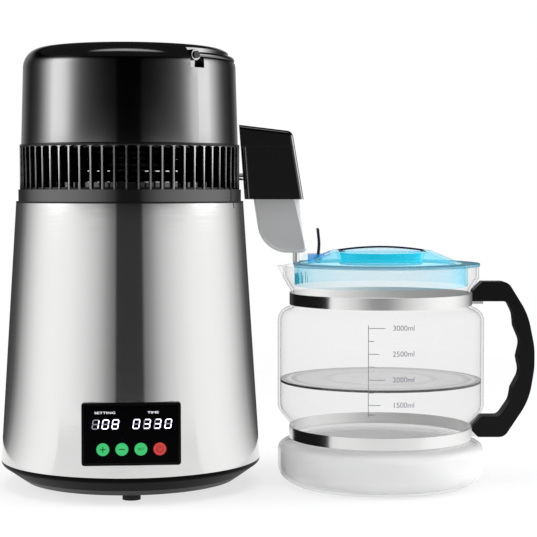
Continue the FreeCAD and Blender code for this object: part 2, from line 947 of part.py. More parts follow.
# ---- Condenser head ----

SPOUT_ROOT_X = cover_radius_at(SPOUT_TOP_Z) + S.spout_gap
SPOUT_TOE_X = SPOUT_ROOT_X + S.spout_root_shift + S.spout_bottom_length
SPOUT_BROW_X = SPOUT_ROOT_X + S.spout_top_length
SPOUT_BROW_Z = SPOUT_TOP_Z - S.spout_fall
NOZZLE_TOP_Z = SPOUT_Z + S.spout_wall


def spout_left_at(z):
    return SPOUT_ROOT_X + (SPOUT_TOP_Z - z) * (S.spout_root_shift / S.spout_height)


def spout_right_at(z):
    lean = (SPOUT_TOE_X - SPOUT_BROW_X) / (SPOUT_BROW_Z - SPOUT_Z)
    return SPOUT_TOE_X - (z - SPOUT_Z) * lean


def nozzle_left_at(z):
    return S.nozzle_left + (SPOUT_Z - z) * S.nozzle_left_lean


def nozzle_right_at(z):
    return S.nozzle_right + (SPOUT_Z - z) * S.nozzle_right_lean


FILTER_X = (nozzle_left_at(FILTER_Z) + nozzle_right_at(FILTER_Z)) / 2 + S.filter_shift
DRIP_X = FILTER_X + S.drip_shift


def make_head_pan():
    body = new_body("head_pan", head_placement)
    step = S.pan_step_radius
    step_z = PAN_Z + S.pan_step_height
    wall = S.pan_wall
    turn(
        body,
        [
            (S.pan_radius, HEAD_Z),
            (S.pan_radius, PAN_Z),
            (step, PAN_Z),
            (step, step_z),
            (step - wall, step_z),
            (step - wall, PAN_Z - wall),
            (S.riser_radius, PAN_Z - wall),
            (S.riser_radius, PAN_Z - 2 * wall),
            (S.pan_radius - wall, PAN_Z - 2 * wall),
            (S.pan_radius - wall, HEAD_Z),
        ],
    )


def make_gasket():
    body = new_body("gasket", head_placement)
    outer = S.pot_radius - S.pot_wall - S.gasket_clearance
    top = PAN_Z - 2 * S.pan_wall
    turn(body, block(outer - S.gasket_width, outer, top - S.gasket_height, top))


def make_vent_ring():
    body = new_body("vent_ring", head_placement)
    inner = S.vent_radius - S.rib_depth
    turn(body, block(inner, inner + S.hoop_width, PAN_Z, PAN_Z + S.hoop_height))
    turn(body, block(inner, S.vent_radius, COVER_Z - S.hoop_height, COVER_Z))
    half = S.rib_width / 2
    # Half a step of turn leaves a slot, not a rib, in line with the spout.
    outline = block(inner, S.vent_radius, -half, half)
    rib = slab(body, "XY", outline, PAN_Z, COVER_Z, twist=(SPUN, 180 / S.vent_count))
    repeat(body, rib, S.vent_count)


def make_steam_riser():
    body = new_body("steam_riser", head_placement)
    outer = S.riser_radius - S.fit_gap
    inner = outer - S.riser_wall
    top = PAN_Z + S.riser_height
    bottom = PAN_Z - 2 * S.pan_wall
    floor = PAN_Z - S.pan_wall
    turn(
        body,
        [
            (inner, bottom),
            (outer, bottom),
            (outer, floor),
            (outer + S.riser_flange, floor),
            (outer + S.riser_flange, floor + S.riser_wall),
            (outer, floor + S.riser_wall),
            (outer, top),
            (0, top),
            (0, top - S.riser_wall),
            (inner, top - S.riser_wall),
        ],
    )
    hole = (0, COIL_TOP_Z, S.coil_tube_radius - S.riser_wall)
    cut(body, "YZ", hole, inner - S.riser_wall, outer + S.riser_wall)


def make_coil():
    body = new_body("condenser_coil", head_placement)
    sketch = new_sketch(body, "XZ")
    for index in range(round(S.coil_turns.value)):
        draw_circle(sketch, S.coil_circle, COIL_Z + S.coil_pitch * index, S.coil_tube_radius)
    rings = body.newObject("PartDesign::Revolution", "coil_rings")
    rings.Profile = sketch
    rings.ReferenceAxis = (sketch, ["V_Axis"])
    rings.Angle = 360
    slab(body, "XY", (-S.coil_circle, 0, S.coil_link_radius), COIL_Z, COIL_TOP_Z)
    slab(body, "YZ", (0, COIL_TOP_Z, S.coil_link_radius), S.riser_radius, S.coil_circle)


def make_fins():
    body = new_body("condenser_fins", head_placement)
    inner = S.coil_circle + S.coil_tube_radius + S.fit_gap
    outer = inner + S.fin_depth
    foot = PAN_Z - S.pan_wall
    top = foot + S.fin_height
    hoop = S.fin_thickness * 2
    turn(body, block(inner, inner + hoop, foot, foot + hoop))
    turn(body, block(inner, inner + hoop, top - hoop, top))
    half = S.fin_thickness / 2
    outline = block(inner, outer, -half, half)
    fin = slab(body, "XY", outline, foot, top, twist=(SPUN, 180 / S.fin_count))
    repeat(body, fin, S.fin_count)


def make_outlet_tube():
    """From the coil's lowest ring, out between two vent ribs, and down into the filter."""
    body = new_body("outlet_tube", head_placement)
    start = S.coil_circle + S.coil_tube_radius + S.fit_gap / 2
    bottom = SPOUT_Z - S.filter_headroom
    path = new_sketch(body, "XZ")
    path.addGeometry(line(start, COIL_Z, FILTER_X, COIL_Z))
    path.addGeometry(line(FILTER_X, COIL_Z, FILTER_X, bottom))
    path.addConstraint(Sketcher.Constraint("Coincident", 0, 2, 1, 1))
    fix(path, "DistanceX", -1, 1, 0, 1, size=start)
    fix(path, "DistanceY", -1, 1, 0, 1, size=COIL_Z)
    fix(path, "DistanceX", -1, 1, 1, 1, size=FILTER_X)
    fix(path, "DistanceY", -1, 1, 1, 1, size=COIL_Z)
    fix(path, "DistanceX", -1, 1, 1, 2, size=FILTER_X)
    fix(path, "DistanceY", -1, 1, 1, 2, size=bottom)
    path.fillet(0, 2, S.outlet_bend.value, True, True)
    bend = [i for i, item in enumerate(path.Geometry) if item.TypeId == "Part::GeomArcOfCircle"]
    fix(path, "Radius", bend[0], size=S.outlet_bend)
    section = new_sketch(body, "YZ", start)
    draw_circle(section, 0, COIL_Z, S.outlet_radius)
    document.recompute()
    pipe = body.newObject("PartDesign::AdditivePipe", "outlet_pipe")
    pipe.Profile = section
    pipe.Spine = path


def line(x0, y0, x1, y1):
    start = FreeCAD.Vector(as_size(x0).value, as_size(y0).value, 0)
    return Part.LineSegment(start, FreeCAD.Vector(as_size(x1).value, as_size(y1).value, 0))


def make_fan():
    blades = new_body("fan_blades", head_placement)
    top = HUB_Z + S.hub_height
    slab(blades, "XY", (0, 0, S.hub_radius), HUB_Z, top)
    slab(blades, "XY", (0, 0, S.shaft_radius), top, top + S.shaft_length)
    half = S.blade_width / 2
    thin = S.blade_thickness / 2
    middle = HUB_Z + S.hub_height / 2
    # Each blade is a flat vane that starts inside the hub and is pitched about its own length.
    section = block(-half, half, -thin, thin)
    root = S.hub_radius - S.blade_thickness
    vane = slab(blades, "YZ", section, root, S.blade_radius, middle, (SPUN, S.blade_pitch))
    repeat(blades, vane, S.blade_count)

    motor = new_body("fan_motor", head_placement)
    low = top + S.fit_gap * 2
    high = low + S.motor_height
    slab(motor, "XY", (0, 0, S.motor_radius), low, high)
    bore = S.shaft_radius + S.fit_gap * 2
    cut(motor, "XY", (0, 0, bore), low, low + S.shaft_length + S.fit_gap)

    bracket = new_body("motor_bracket", head_placement)
    hoop = S.motor_radius + S.bracket_arm
    slab(bracket, "XY", (0, 0, hoop), high, high + S.bracket_thickness)
    half = S.bracket_arm / 2
    reach = cover_radius_at(high + S.bracket_thickness) - S.cover_wall - S.fit_gap
    arm = slab(
        bracket,
        "XY",
        block(0, square_root(reach * reach - half * half), -half, half),
        high,
        high + S.bracket_thickness,
    )
    repeat(bracket, arm, S.bracket_arms)


def cover_placement(body):
    """Cover and carry handle: on the still's axis, turned so that the pivots lie along X."""
    body.setExpression(
        "Placement",
        f"placement(vector({STILL_X.text}; 0; 0); rotation(vector(0; 0; 1); {S.bail_turn.text}))",
    )


def far_pivot_placement(body):
    """As the cover, but turned half round, for the pivot on the far side."""
    turned = S.bail_turn + 180
    body.setExpression(
        "Placement",
        f"placement(vector({STILL_X.text}; 0; 0); rotation(vector(0; 0; 1); {turned.text}))",
    )


def make_cover():
    body = new_body("head_cover", cover_placement)
    wall = S.cover_wall
    edge = CROWN_Z - S.cover_edge_drop
    turn(
        body,
        [
            (0, COVER_Z),
            (S.cover_radius, COVER_Z),
            (S.cover_top_radius, edge, S.cover_round),
            (S.cover_crown, CROWN_Z, S.crown_round),
            (0, CROWN_Z),
        ],
    )
    turn_groove(
        body,
        [
            (0, COVER_Z - wall),
            (S.cover_radius - wall, COVER_Z - wall),
            (S.cover_radius - wall, COVER_Z),
            (S.cover_top_radius - wall, edge - wall, S.cover_round - wall),
            (S.cover_crown, CROWN_Z - wall, S.crown_round),
            (0, CROWN_Z - wall),
        ],
    )
    opening = (0, 0, S.grille_radius + S.fit_gap)
    cut(body, "XY", opening, CROWN_Z - 2 * wall, CROWN_Z)
    add_handle_seat(body)
    jack_wall = cover_radius_at(FAN_INLET_Z)
    jack = (0, FAN_INLET_Z, S.jack_radius + S.fit_gap)
    cut(body, "XZ", jack, jack_wall - S.jack_length, jack_wall + S.inlet_proud)


def notch_floor_x():
    return S.bail_circle - S.bail_radius - S.bail_clearance


def add_handle_seat(body):
    """Ledge for the folded bail and a boss with a notch at each of its two pivots."""
    ledge_x = notch_floor_x()
    ledge_z = BAIL_Z - S.bail_radius - S.bail_clearance
    wall_x = cover_radius_at(ledge_z) - S.cover_wall
    behind = ledge_x - S.ledge_wall
    turn(
        body,
        [
            (behind, ledge_z - S.ledge_floor),
            (wall_x, ledge_z - S.ledge_floor),
            (wall_x, ledge_z),
            (ledge_x, BAIL_Z),
            (behind, BAIL_Z + S.ledge_floor),
        ],
    )
    low = BAIL_Z - S.notch_drop - S.ledge_floor
    side = S.notch_width / 2 + S.notch_wall
    boss = slab(
        body,
        "XZ",
        [
            (ledge_x - S.boss_depth, low),
            (wall_x, low),
            (wall_x, ledge_z),
            (ledge_x, BAIL_Z),
            (behind, BAIL_Z + S.ledge_floor),
            (ledge_x - S.boss_depth, BAIL_Z + S.ledge_floor),
        ],
        -side,
        side,
    )
    repeat(body, boss, 2)
    turn_groove(body, block(ledge_x, S.cover_radius + S.cover_wall, ledge_z, CROWN_Z), 180)
    half = S.notch_width / 2
    outline = block(ledge_x, S.cover_radius + S.cover_wall, BAIL_Z - S.notch_drop, CROWN_Z)
    notch = cut(body, "XZ", outline, -half, half)
    repeat(body, notch, 2)
    hole = (0, BAIL_Z, S.pivot_radius + S.fit_gap / 2)
    drilled = cut(body, "YZ", hole, ledge_x - S.pivot_depth, ledge_x)
    repeat(body, drilled, 2)


def make_grille():
    body = new_body("top_grille", cover_placement)
    low = CROWN_Z - S.grille_thickness
    slab(body, "XY", (0, 0, S.grille_radius), low, CROWN_Z)
    half = S.grille_slot_width / 2
    outer = S.grille_hub + S.grille_slot_length
    slot = cut(body, "XY", block(S.grille_hub, outer, -half, half), low, CROWN_Z)
    repeat(body, slot, S.grille_slots)


def make_carry_handle():
    body = new_body("carry_handle", cover_placement)
    sketch = new_sketch(body, "XZ")
    draw_circle(sketch, S.bail_circle, BAIL_Z, S.bail_radius)
    bar = body.newObject("PartDesign::Revolution", "bail_bar")
    bar.Profile = sketch
    bar.ReferenceAxis = (sketch, ["V_Axis"])
    bar.Angle = 180
    near = notch_floor_x() + S.bail_clearance
    eye = slab(body, "YZ", (0, BAIL_Z, S.bail_eye_radius), near, near + S.bail_eye_width)
    repeat(body, eye, 2)
    face = near + S.bail_eye_width
    hole = (0, BAIL_Z, S.pivot_radius + S.bail_clearance)
    repeat(body, cut(body, "YZ", hole, near, face), 2)
    # The bar is cut back beside the eye, which leaves room for the pin's head.
    room = (0, BAIL_Z, S.pivot_head_radius + S.bail_clearance)
    repeat(body, cut(body, "YZ", room, face, face + S.bail_radius * 2), 2)


def make_pivot_pins():
    start = notch_floor_x() - S.pivot_depth
    shoulder = notch_floor_x() + 2 * S.bail_clearance + S.bail_eye_width
    end = shoulder + S.pivot_head_thickness
    for name, place in (("front", cover_placement), ("rear", far_pivot_placement)):
        body = new_body(f"pivot_pin_{name}", place)
        slab(body, "YZ", (0, BAIL_Z, S.pivot_radius), start, shoulder)
        slab(body, "YZ", (0, BAIL_Z, S.pivot_head_radius), shoulder, end)


def make_sockets():
    make_jack("fan_outlet", base_placement, OUTLET_Z, shell_radius_at(OUTLET_Z))
    make_jack("fan_inlet", cover_placement, FAN_INLET_Z, cover_radius_at(FAN_INLET_Z))


# ---- Spout ----


def on_flat_side(edge, half_width):
    """True for an edge that lies wholly on one of the two flat sides."""
    return all(abs(abs(point.Y) - half_width.value) < 0.01 for point in edge.Vertexes)


def make_spout_housing():
    body = new_body("spout_housing", head_placement)
    low = SPOUT_Z
    high = SEAM_Z
    corners = [
        (spout_left_at(low), low),
        (spout_right_at(low), low),
        (spout_right_at(high), high),
        (spout_left_at(high), high),
    ]
    half = S.spout_half_width
    outer = slab(body, "XZ", corners, -half, half)
    middle = (SPOUT_ROOT_X.value + SPOUT_TOE_X.value) / 2

    def upright(edge):
        return on_flat_side(edge, half) and edge.BoundBox.ZLength > edge.BoundBox.XLength

    nose = round_edges(
        body, outer, S.spout_nose_round, lambda e: upright(e) and e.CenterOfMass.x > middle
    )
    round_edges(body, nose, S.spout_root_round, lambda e: upright(e) and e.CenterOfMass.x < middle)
    inner = inset(corners, S.spout_wall)
    top = high + S.spout_wall
    inner[2] = (spout_right_at(top) - S.spout_wall, top)
    inner[3] = (spout_left_at(top) + S.spout_wall, top)
    cut(body, "XZ", inner, -(half - S.spout_wall), half - S.spout_wall)
    hole_left = nozzle_left_at(NOZZLE_TOP_Z) - S.fit_gap
    hole_right = nozzle_right_at(low) + S.fit_gap
    side = S.nozzle_half_width + S.fit_gap
    cut(body, "XY", block(hole_left, hole_right, -side, side), low, NOZZLE_TOP_Z)
    entry = (0, COIL_Z, S.outlet_radius + S.fit_gap)
    near = spout_left_at(COIL_Z)
    cut(body, "YZ", entry, near - 2 * S.spout_wall, near + 3 * S.spout_wall)


def make_spout_cap():
    body = new_body("spout_cap", head_placement)
    low = SEAM_Z + S.seam_gap
    corners = [
        (spout_left_at(low), low),
        (spout_right_at(low), low),
        (SPOUT_BROW_X, SPOUT_BROW_Z, S.spout_brow_round),
        (SPOUT_ROOT_X, SPOUT_TOP_Z),
    ]
    half = S.spout_half_width
    outer = slab(body, "XZ", corners, -half, half)
    floor = (low + S.fit_gap).value
    root = (SPOUT_ROOT_X + S.spout_wall).value

    def over_the_top(edge):
        in_front = edge.CenterOfMass.x > root
        return in_front and edge.BoundBox.ZMax > floor and on_flat_side(edge, half)

    round_edges(body, outer, S.spout_nose_round, over_the_top)
    document.recompute()
    wall = S.spout_wall + S.fit_gap
    lip_low = SEAM_Z - S.cap_lip_height
    lip_left = spout_left_at(lip_low) + wall
    lip_right = spout_right_at(low) - wall
    lip_side = half - wall
    slab(body, "XY", block(lip_left, lip_right, -lip_side, lip_side), lip_low, low)
    thick = wall + S.cap_lip_wall
    hollow = inset(corners, thick)
    hollow[0] = (lip_left + S.cap_lip_wall, lip_low)
    hollow[1] = (lip_right - S.cap_lip_wall, lip_low)
    cut(body, "XZ", hollow, -(half - thick), half - thick)


def nozzle_corners():
    low = NOZZLE_Z
    return [
        (nozzle_left_at(low), low, S.nozzle_tail_round),
        (nozzle_right_at(low), low, S.nozzle_tip_round),
        (nozzle_right_at(NOZZLE_TOP_Z), NOZZLE_TOP_Z),
        (nozzle_left_at(NOZZLE_TOP_Z), NOZZLE_TOP_Z),
    ]


def make_nozzle():
    body = new_body("nozzle", head_placement)
    half = S.nozzle_half_width
    corners = nozzle_corners()
    outer = slab(body, "XZ", corners, -half, half)
    ceiling = (NOZZLE_TOP_Z - S.fit_gap).value

    def below_top(edge):
        return on_flat_side(edge, half) and edge.CenterOfMass.z < ceiling

    round_edges(body, outer, S.nozzle_edge_round, below_top)
    document.recompute()
    brim = S.nozzle_flange
    left = nozzle_left_at(NOZZLE_TOP_Z) - brim
    right = nozzle_right_at(NOZZLE_TOP_Z)
    top = NOZZLE_TOP_Z + brim
    slab(body, "XY", block(left, right, -half - brim, half + brim), NOZZLE_TOP_Z, top)
    inner = inset(corners, S.nozzle_wall)
    inner[2] = (nozzle_right_at(top) - S.nozzle_wall, top)
    inner[3] = (nozzle_left_at(top) + S.nozzle_wall, top)
    cut(body, "XZ", inner, -(half - S.nozzle_wall), half - S.nozzle_wall)
    hole = (DRIP_X, 0, S.drip_radius + S.fit_gap / 2)
    cut(body, "XY", hole, NOZZLE_Z, NOZZLE_Z + 2 * S.nozzle_wall)


def make_filter():
    body = new_body("charcoal_filter", head_placement)
    place = (FILTER_X, 0, S.filter_radius)
    slab(body, "XY", place, FILTER_Z, SPOUT_Z - S.filter_headroom)


def make_drip_tube():
    body = new_body("drip_tube", head_placement)
    slab(body, "XY", (DRIP_X, 0, S.drip_radius), DRIP_Z, FILTER_Z)
    cut(body, "XY", (DRIP_X, 0, S.drip_bore), DRIP_Z, FILTER_Z)


# ---- Jug ----

SHOULDER_Z = S.jug_height - S.shoulder_drop
UPPER_NECK_Z = S.jug_height - S.upper_neck_drop
FLARE_Z = S.jug_height - S.flare_drop
HANDLE_TOP_Z = S.jug_height - S.handle_top_drop


def jug_corners():
    neck = S.neck_radius
    belly = S.jug_radius
    return [
        (0, S.pushup_height),
        (S.pushup_radius, S.pushup_height),
        (S.pushup_radius + 2 * S.pushup_height, 0),
        (belly, 0, S.base_round),
        (belly, S.foot_bulge_height, S.foot_round),
        (neck, S.lower_neck_z, S.neck_round),
        (neck, S.body_z, S.neck_round),
        (belly, S.body_z + S.body_rise, S.shoulder_round),
        (belly, SHOULDER_Z, S.shoulder_round),
        (neck, UPPER_NECK_Z, S.neck_round),
        (neck, FLARE_Z, S.neck_round),
        (S.rim_radius, FLARE_Z + S.flare_rise, S.neck_round),
        (S.rim_radius, S.jug_height),
        (0, S.jug_height),
    ]


def make_glass_jug():
    body = new_body("glass_jug", jug_placement)
    corners = jug_corners()
    turn(body, corners)
    add_beak(body, "PartDesign::AdditiveCone", 0)
    inner = inset(corners, S.glass_wall)
    top = S.jug_height + S.glass_wall
    inner[0] = (0, S.pushup_height + S.glass_wall)
    inner[-2] = (S.rim_radius - S.glass_wall, top)
    inner[-1] = (0, top)
    turn_groove(body, inner)
    add_beak(body, "PartDesign::SubtractiveCone", S.glass_wall)


def add_beak(body, kind, wall):
    """Pouring beak: a slim upright cone that swells the rim on the side of the still."""
    cone = body.newObject(kind, "beak")
    origin_plane = [i for i in body.Origin.OriginFeatures if i.Role == "XY_Plane"][0]
    cone.AttachmentSupport = [(origin_plane, "")]
    cone.MapMode = "FlatFace"
    bind(cone, "AttachmentOffset.Base.x", -S.beak_shift)
    bind(cone, "AttachmentOffset.Base.z", S.jug_height - S.beak_rise + wall)
    bind(cone, "Radius1", S.beak_radius * S.beak_point - wall)
    bind(cone, "Radius2", S.beak_radius - wall)
    bind(cone, "Height", S.beak_rise)


BAND_RADIUS = S.neck_radius + S.band_gap + S.band_thickness
UPPER_BAND_Z = (UPPER_NECK_Z + FLARE_Z) / 2
LOWER_BAND_Z = (S.lower_neck_z + S.body_z) / 2


def make_bands():
    for name, middle in (("upper_band", UPPER_BAND_Z), ("lower_band", LOWER_BAND_Z)):
        body = new_body(name, jug_placement)
        low = middle - S.band_height / 2
        high = middle + S.band_height / 2
        turn(body, block(BAND_RADIUS - S.band_thickness, BAND_RADIUS, low, high))
        half = S.ear_thickness / 2
        root = BAND_RADIUS - S.band_thickness / 2
        ear = block(root, BAND_RADIUS + S.ear_length, -half, half)
        slab(body, "XY", ear, low, high)
        hole = (clamp_x(), middle, S.clamp_radius + S.fit_gap)
        cut(body, "XZ", hole, -half, half)


def clamp_x():
    return BAND_RADIUS + S.ear_length / 2


def handle_back():
    """Corners of the handle's smooth back, from the heel up to the shoulder."""
    tall = HANDLE_TOP_Z - S.handle_bottom_z
    reach = S.handle_reach
    bends = [
        (S.handle_calf_inset, S.handle_calf_share),
        (0, S.handle_back_low_share),
        (0, S.handle_back_high_share),
        (S.handle_neck_inset, S.handle_neck_share),
    ]
    corners = [(reach - S.handle_heel_inset, S.handle_bottom_z, S.handle_round)]
    for inset_x, share in bends:
        corners.append((reach - inset_x, S.handle_bottom_z + tall * share, S.handle_back_round))
    corners.append((reach - S.handle_shoulder_inset, HANDLE_TOP_Z, S.handle_round))
    return corners


def handle_grip(low, high):
    """Corners of the handle's inner side, from the shoulder down: ridges with hollows for the fingers."""
    tall = high - low
    reach = S.handle_reach
    pitch = S.ridge_pitch_share
    middle = S.ridge_share
    wavy = [
        (S.grip_high_inset, S.grip_high_share, S.hollow_round),
        (S.ridge_high_inset, middle + pitch, S.ridge_round),
        (S.hollow_high_inset, middle + pitch / 2, S.hollow_round),
        (S.ridge_middle_inset, middle, S.ridge_round),
        (S.hollow_low_inset, middle - pitch / 2, S.hollow_round),
        (S.ridge_low_inset, middle - pitch, S.ridge_round),
        (S.grip_low_inset, S.grip_low_share, S.hollow_round),
    ]
    corners = [(reach - S.grip_shoulder_inset, high, S.handle_inner_round)]
    for inset_x, share, rounding in wavy:
        corners.append((reach - inset_x, low + tall * share, rounding))
    corners.append((reach - S.grip_heel_inset, low, S.handle_inner_round))
    return corners


def make_jug_handle():
    body = new_body("jug_handle", jug_placement)
    root = BAND_RADIUS + S.fit_gap
    arm_low = S.handle_bottom_z + S.handle_low_arm
    arm_high = HANDLE_TOP_Z - S.handle_arm
    upper_root = UPPER_BAND_Z + S.band_height / 2 + S.handle_root_rise
    corners = [
        (root, S.handle_bottom_z + S.handle_root_chamfer),
        (root + S.handle_root_chamfer, S.handle_bottom_z),
        *handle_back(),
        (root + S.handle_throat, HANDLE_TOP_Z),
        (root, upper_root),
        (root, arm_high),
        *handle_grip(arm_low, arm_high),
        (root + S.handle_throat, arm_low),
        (root, arm_low - S.handle_throat),
    ]
    half = S.handle_half_width
    slab(body, "XZ", corners, -half, half)
    slot = S.ear_thickness / 2 + S.fit_gap
    for middle in (UPPER_BAND_Z, LOWER_BAND_Z):
        low = middle - S.band_height / 2 - S.fit_gap
        high = middle + S.band_height / 2 + S.fit_gap
        deep = BAND_RADIUS + S.ear_length + S.fit_gap
        cut(body, "XY", block(root, deep, -slot, slot), low, high)
        shank = (clamp_x(), middle, S.clamp_radius + S.fit_gap / 2)
        cut(body, "XZ", shank, -S.clamp_depth, half)
        head = (clamp_x(), middle, S.clamp_head_radius + S.fit_gap / 2)
        cut(body, "XZ", head, half - S.clamp_head_depth, half)


def make_clamp_screws():
    half = S.handle_half_width
    for name, middle in (("upper", UPPER_BAND_Z), ("lower", LOWER_BAND_Z)):
        body = new_body(f"clamp_screw_{name}", jug_placement)
        shoulder = half - S.clamp_head_depth
        slab(body, "XZ", (clamp_x(), middle, S.clamp_radius), -S.clamp_depth, shoulder)
        slab(body, "XZ", (clamp_x(), middle, S.clamp_head_radius), shoulder, half)


# ---- Lid ----

PLATEAU_Z = LID_TOP + S.dome_rise
BOWL_Z = PLATEAU_Z - S.bowl_depth
SKIRT_RADIUS = S.neck_radius - S.glass_wall - S.skirt_gap
HINGE_Z = LID_TOP + S.hinge_rise


def make_lid():
    body = new_body("jug_lid", jug_placement)
    low = S.jug_height - S.skirt_depth
    inner = SKIRT_RADIUS - S.skirt_wall
    wall = S.lid_wall
    turn(
        body,
        [
            (inner, low),
            (SKIRT_RADIUS, low),
            (SKIRT_RADIUS, S.jug_height),
            (S.lid_radius, S.jug_height),
            (S.lid_radius, LID_TOP),
            (S.dome_radius, LID_TOP, S.dome_foot_round),
            (S.plateau_radius, PLATEAU_Z, S.dome_top_round),
            (S.bowl_radius, PLATEAU_Z),
            (S.bowl_radius - S.bowl_slope, BOWL_Z),
            (0, BOWL_Z),
            (0, BOWL_Z - wall),
            (S.bowl_radius - S.bowl_slope + wall, BOWL_Z - wall),
            (S.bowl_radius + wall, PLATEAU_Z - wall),
            (S.plateau_radius - wall / 2, PLATEAU_Z - wall),
            (S.dome_radius - wall, S.jug_height),
            (inner, S.jug_height),
        ],
    )
    add_grip(body)
    add_ears(body)
    open_lid(body)


def add_grip(body):
    foot = S.bowl_radius - S.bowl_slope
    peak = PLATEAU_Z + 2 * S.grip_rise
    outline = [
        (-foot, BOWL_Z),
        (foot, BOWL_Z),
        (S.plateau_radius - S.lid_wall, PLATEAU_Z),
        (0, peak, S.grip_arch),
        (S.lid_wall - S.plateau_radius, PLATEAU_Z),
    ]
    slab(body, "XZ", outline, -S.grip_web / 2, S.grip_web / 2)


def add_ears(body):
    high = LID_TOP + S.ear_rise
    outline = [
        (-S.ear_left, LID_TOP),
        (-S.ear_right, LID_TOP + S.lid_wall),
        (-S.ear_right, high),
        (-S.ear_left, high, S.ear_round),
    ]
    for low in (-S.ear_half_span - S.ear_width, S.ear_half_span):
        slab(body, "XZ", outline, low, low + S.ear_width)


def open_lid(body):
    """Flat cut beside the beak, mouth for the drip tube, hatch, strainer and hinge holes."""
    edge = S.lid_radius + S.lid_wall
    chord = S.lid_radius
    low = S.jug_height - S.skirt_depth
    cut(body, "XY", block(-edge, -S.lid_cut, -chord, chord), S.jug_height, LID_TOP)
    half = S.mouth_half_width
    mouth_edge = JUG_X - DRIP_X - S.drip_radius - S.mouth_gap
    cut(body, "XY", block(-edge, -mouth_edge, -half, half), low, LID_TOP)
    half = S.ear_half_span
    hatch = block(-S.dome_radius, -S.hatch_reach, -half, half)
    cut(body, "XY", hatch, S.jug_height, PLATEAU_Z)
    half = S.strainer_width / 2
    inner = SKIRT_RADIUS - 2 * S.skirt_wall
    for side in (-1, 1):
        for index in range(round(S.strainer_count.value)):
            angle = (S.strainer_start + S.strainer_turn * index) * side
            slot = block(-edge, -inner, -half, half)
            cut(body, "XY", slot, low, low + S.strainer_height, twist=(SPUN, angle))
    hole = (-S.hinge_x, HINGE_Z, S.hinge_pin_radius + S.fit_gap / 2)
    reach = S.ear_half_span + S.ear_width
    cut(body, "XZ", hole, -reach, reach)


def make_flap():
    body = new_body("lid_flap", jug_placement)
    side = S.ear_half_span - S.knuckle_gap
    slab(body, "XZ", (-S.hinge_x, HINGE_Z, S.knuckle_radius), -side, side)
    half = S.flap_thickness / 2
    middle = HINGE_Z + S.flap_length / 2
    top = HINGE_Z + S.flap_length
    outline = [
        (-S.hinge_x - half, HINGE_Z),
        (-S.hinge_x + half, HINGE_Z),
        (-S.hinge_x + half + S.flap_bow, middle, S.flap_round),
        (-S.hinge_x + half, top),
        (-S.hinge_x - half, top),
        (-S.hinge_x - half + S.flap_bow, middle, S.flap_round),
    ]
    slab(body, "XZ", outline, -side, side)
    bore = (-S.hinge_x, HINGE_Z, S.hinge_pin_radius + S.hinge_gap)
    cut(body, "XZ", bore, -side, side)


def make_flap_pin():
    body = new_body("flap_pin", jug_placement)
    reach = S.ear_half_span + S.ear_width
    slab(body, "XZ", (-S.hinge_x, HINGE_Z, S.hinge_pin_radius), -reach, reach)


MAKERS = [
    make_feet,
    make_base_plate,
    make_base_screws,
    make_base_ring,
    make_outer_shell,
    make_boiler_pot,
    make_heater,
    make_bezel,
    make_window,
    make_display_module,
    make_control_board,
    make_buttons,
    make_power_inlet,
    make_inlet_contacts,
    make_sockets,
    make_head_pan,
    make_gasket,
    make_vent_ring,
    make_steam_riser,
    make_coil,
    make_fins,
    make_outlet_tube,
    make_fan,
    make_cover,
    make_grille,
    make_carry_handle,
    make_pivot_pins,
    make_spout_housing,
    make_spout_cap,
    make_nozzle,
    make_filter,
    make_drip_tube,
    make_glass_jug,
    make_bands,
    make_jug_handle,
    make_clamp_screws,
    make_lid,
    make_flap,
    make_flap_pin,
]

for make in MAKERS:
    make()
document.recompute()

faults = [item.Label for item in document.Objects if {"Invalid", "Error"} & set(item.State)]
for body in nodes:
    if body.Shape.isNull() or not body.Shape.isValid() or len(body.Shape.Solids) != 1:
        faults.append(f"{body.Label}: {len(body.Shape.Solids)} solids")
if faults:
    raise SystemExit(f"failed: {faults}")

os.makedirs("parts", exist_ok=True)
for body in nodes:
    body.Shape.exportStep(f"parts/{body.Label}.step")
print(len(nodes), "parts")
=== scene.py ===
import json
import math

import bmesh
import bpy
from mathutils import Matrix, Vector

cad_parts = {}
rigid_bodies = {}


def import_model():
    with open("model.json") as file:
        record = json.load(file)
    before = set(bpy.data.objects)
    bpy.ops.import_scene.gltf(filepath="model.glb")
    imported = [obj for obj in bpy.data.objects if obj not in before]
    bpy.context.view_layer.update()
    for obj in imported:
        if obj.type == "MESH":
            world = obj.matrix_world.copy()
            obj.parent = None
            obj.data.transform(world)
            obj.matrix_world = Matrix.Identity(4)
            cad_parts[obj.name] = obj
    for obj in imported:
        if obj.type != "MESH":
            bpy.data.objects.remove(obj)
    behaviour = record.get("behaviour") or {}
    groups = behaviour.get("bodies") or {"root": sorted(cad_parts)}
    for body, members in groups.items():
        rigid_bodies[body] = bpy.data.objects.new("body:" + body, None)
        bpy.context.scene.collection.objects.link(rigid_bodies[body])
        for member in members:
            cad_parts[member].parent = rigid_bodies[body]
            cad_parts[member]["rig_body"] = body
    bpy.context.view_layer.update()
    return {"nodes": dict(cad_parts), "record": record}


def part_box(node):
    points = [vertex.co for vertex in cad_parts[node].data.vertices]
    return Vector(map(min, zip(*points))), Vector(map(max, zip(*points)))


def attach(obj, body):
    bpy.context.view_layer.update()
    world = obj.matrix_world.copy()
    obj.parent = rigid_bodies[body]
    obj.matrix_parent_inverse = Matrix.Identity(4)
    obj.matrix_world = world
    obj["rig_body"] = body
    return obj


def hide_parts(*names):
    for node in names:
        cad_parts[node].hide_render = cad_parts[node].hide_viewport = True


# A countertop water distiller and its glass jug. The frame holds every piece at its real size;
# this script dresses them, adds the fine pieces and lights the set. Sizes are in millimetres.
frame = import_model()
nodes = frame["nodes"]
slotOfNode = {part["node"]: part["material_slot"] for part in frame["record"]["subparts"]}
mm = 0.001
print("frame loaded:", len(nodes), "nodes")


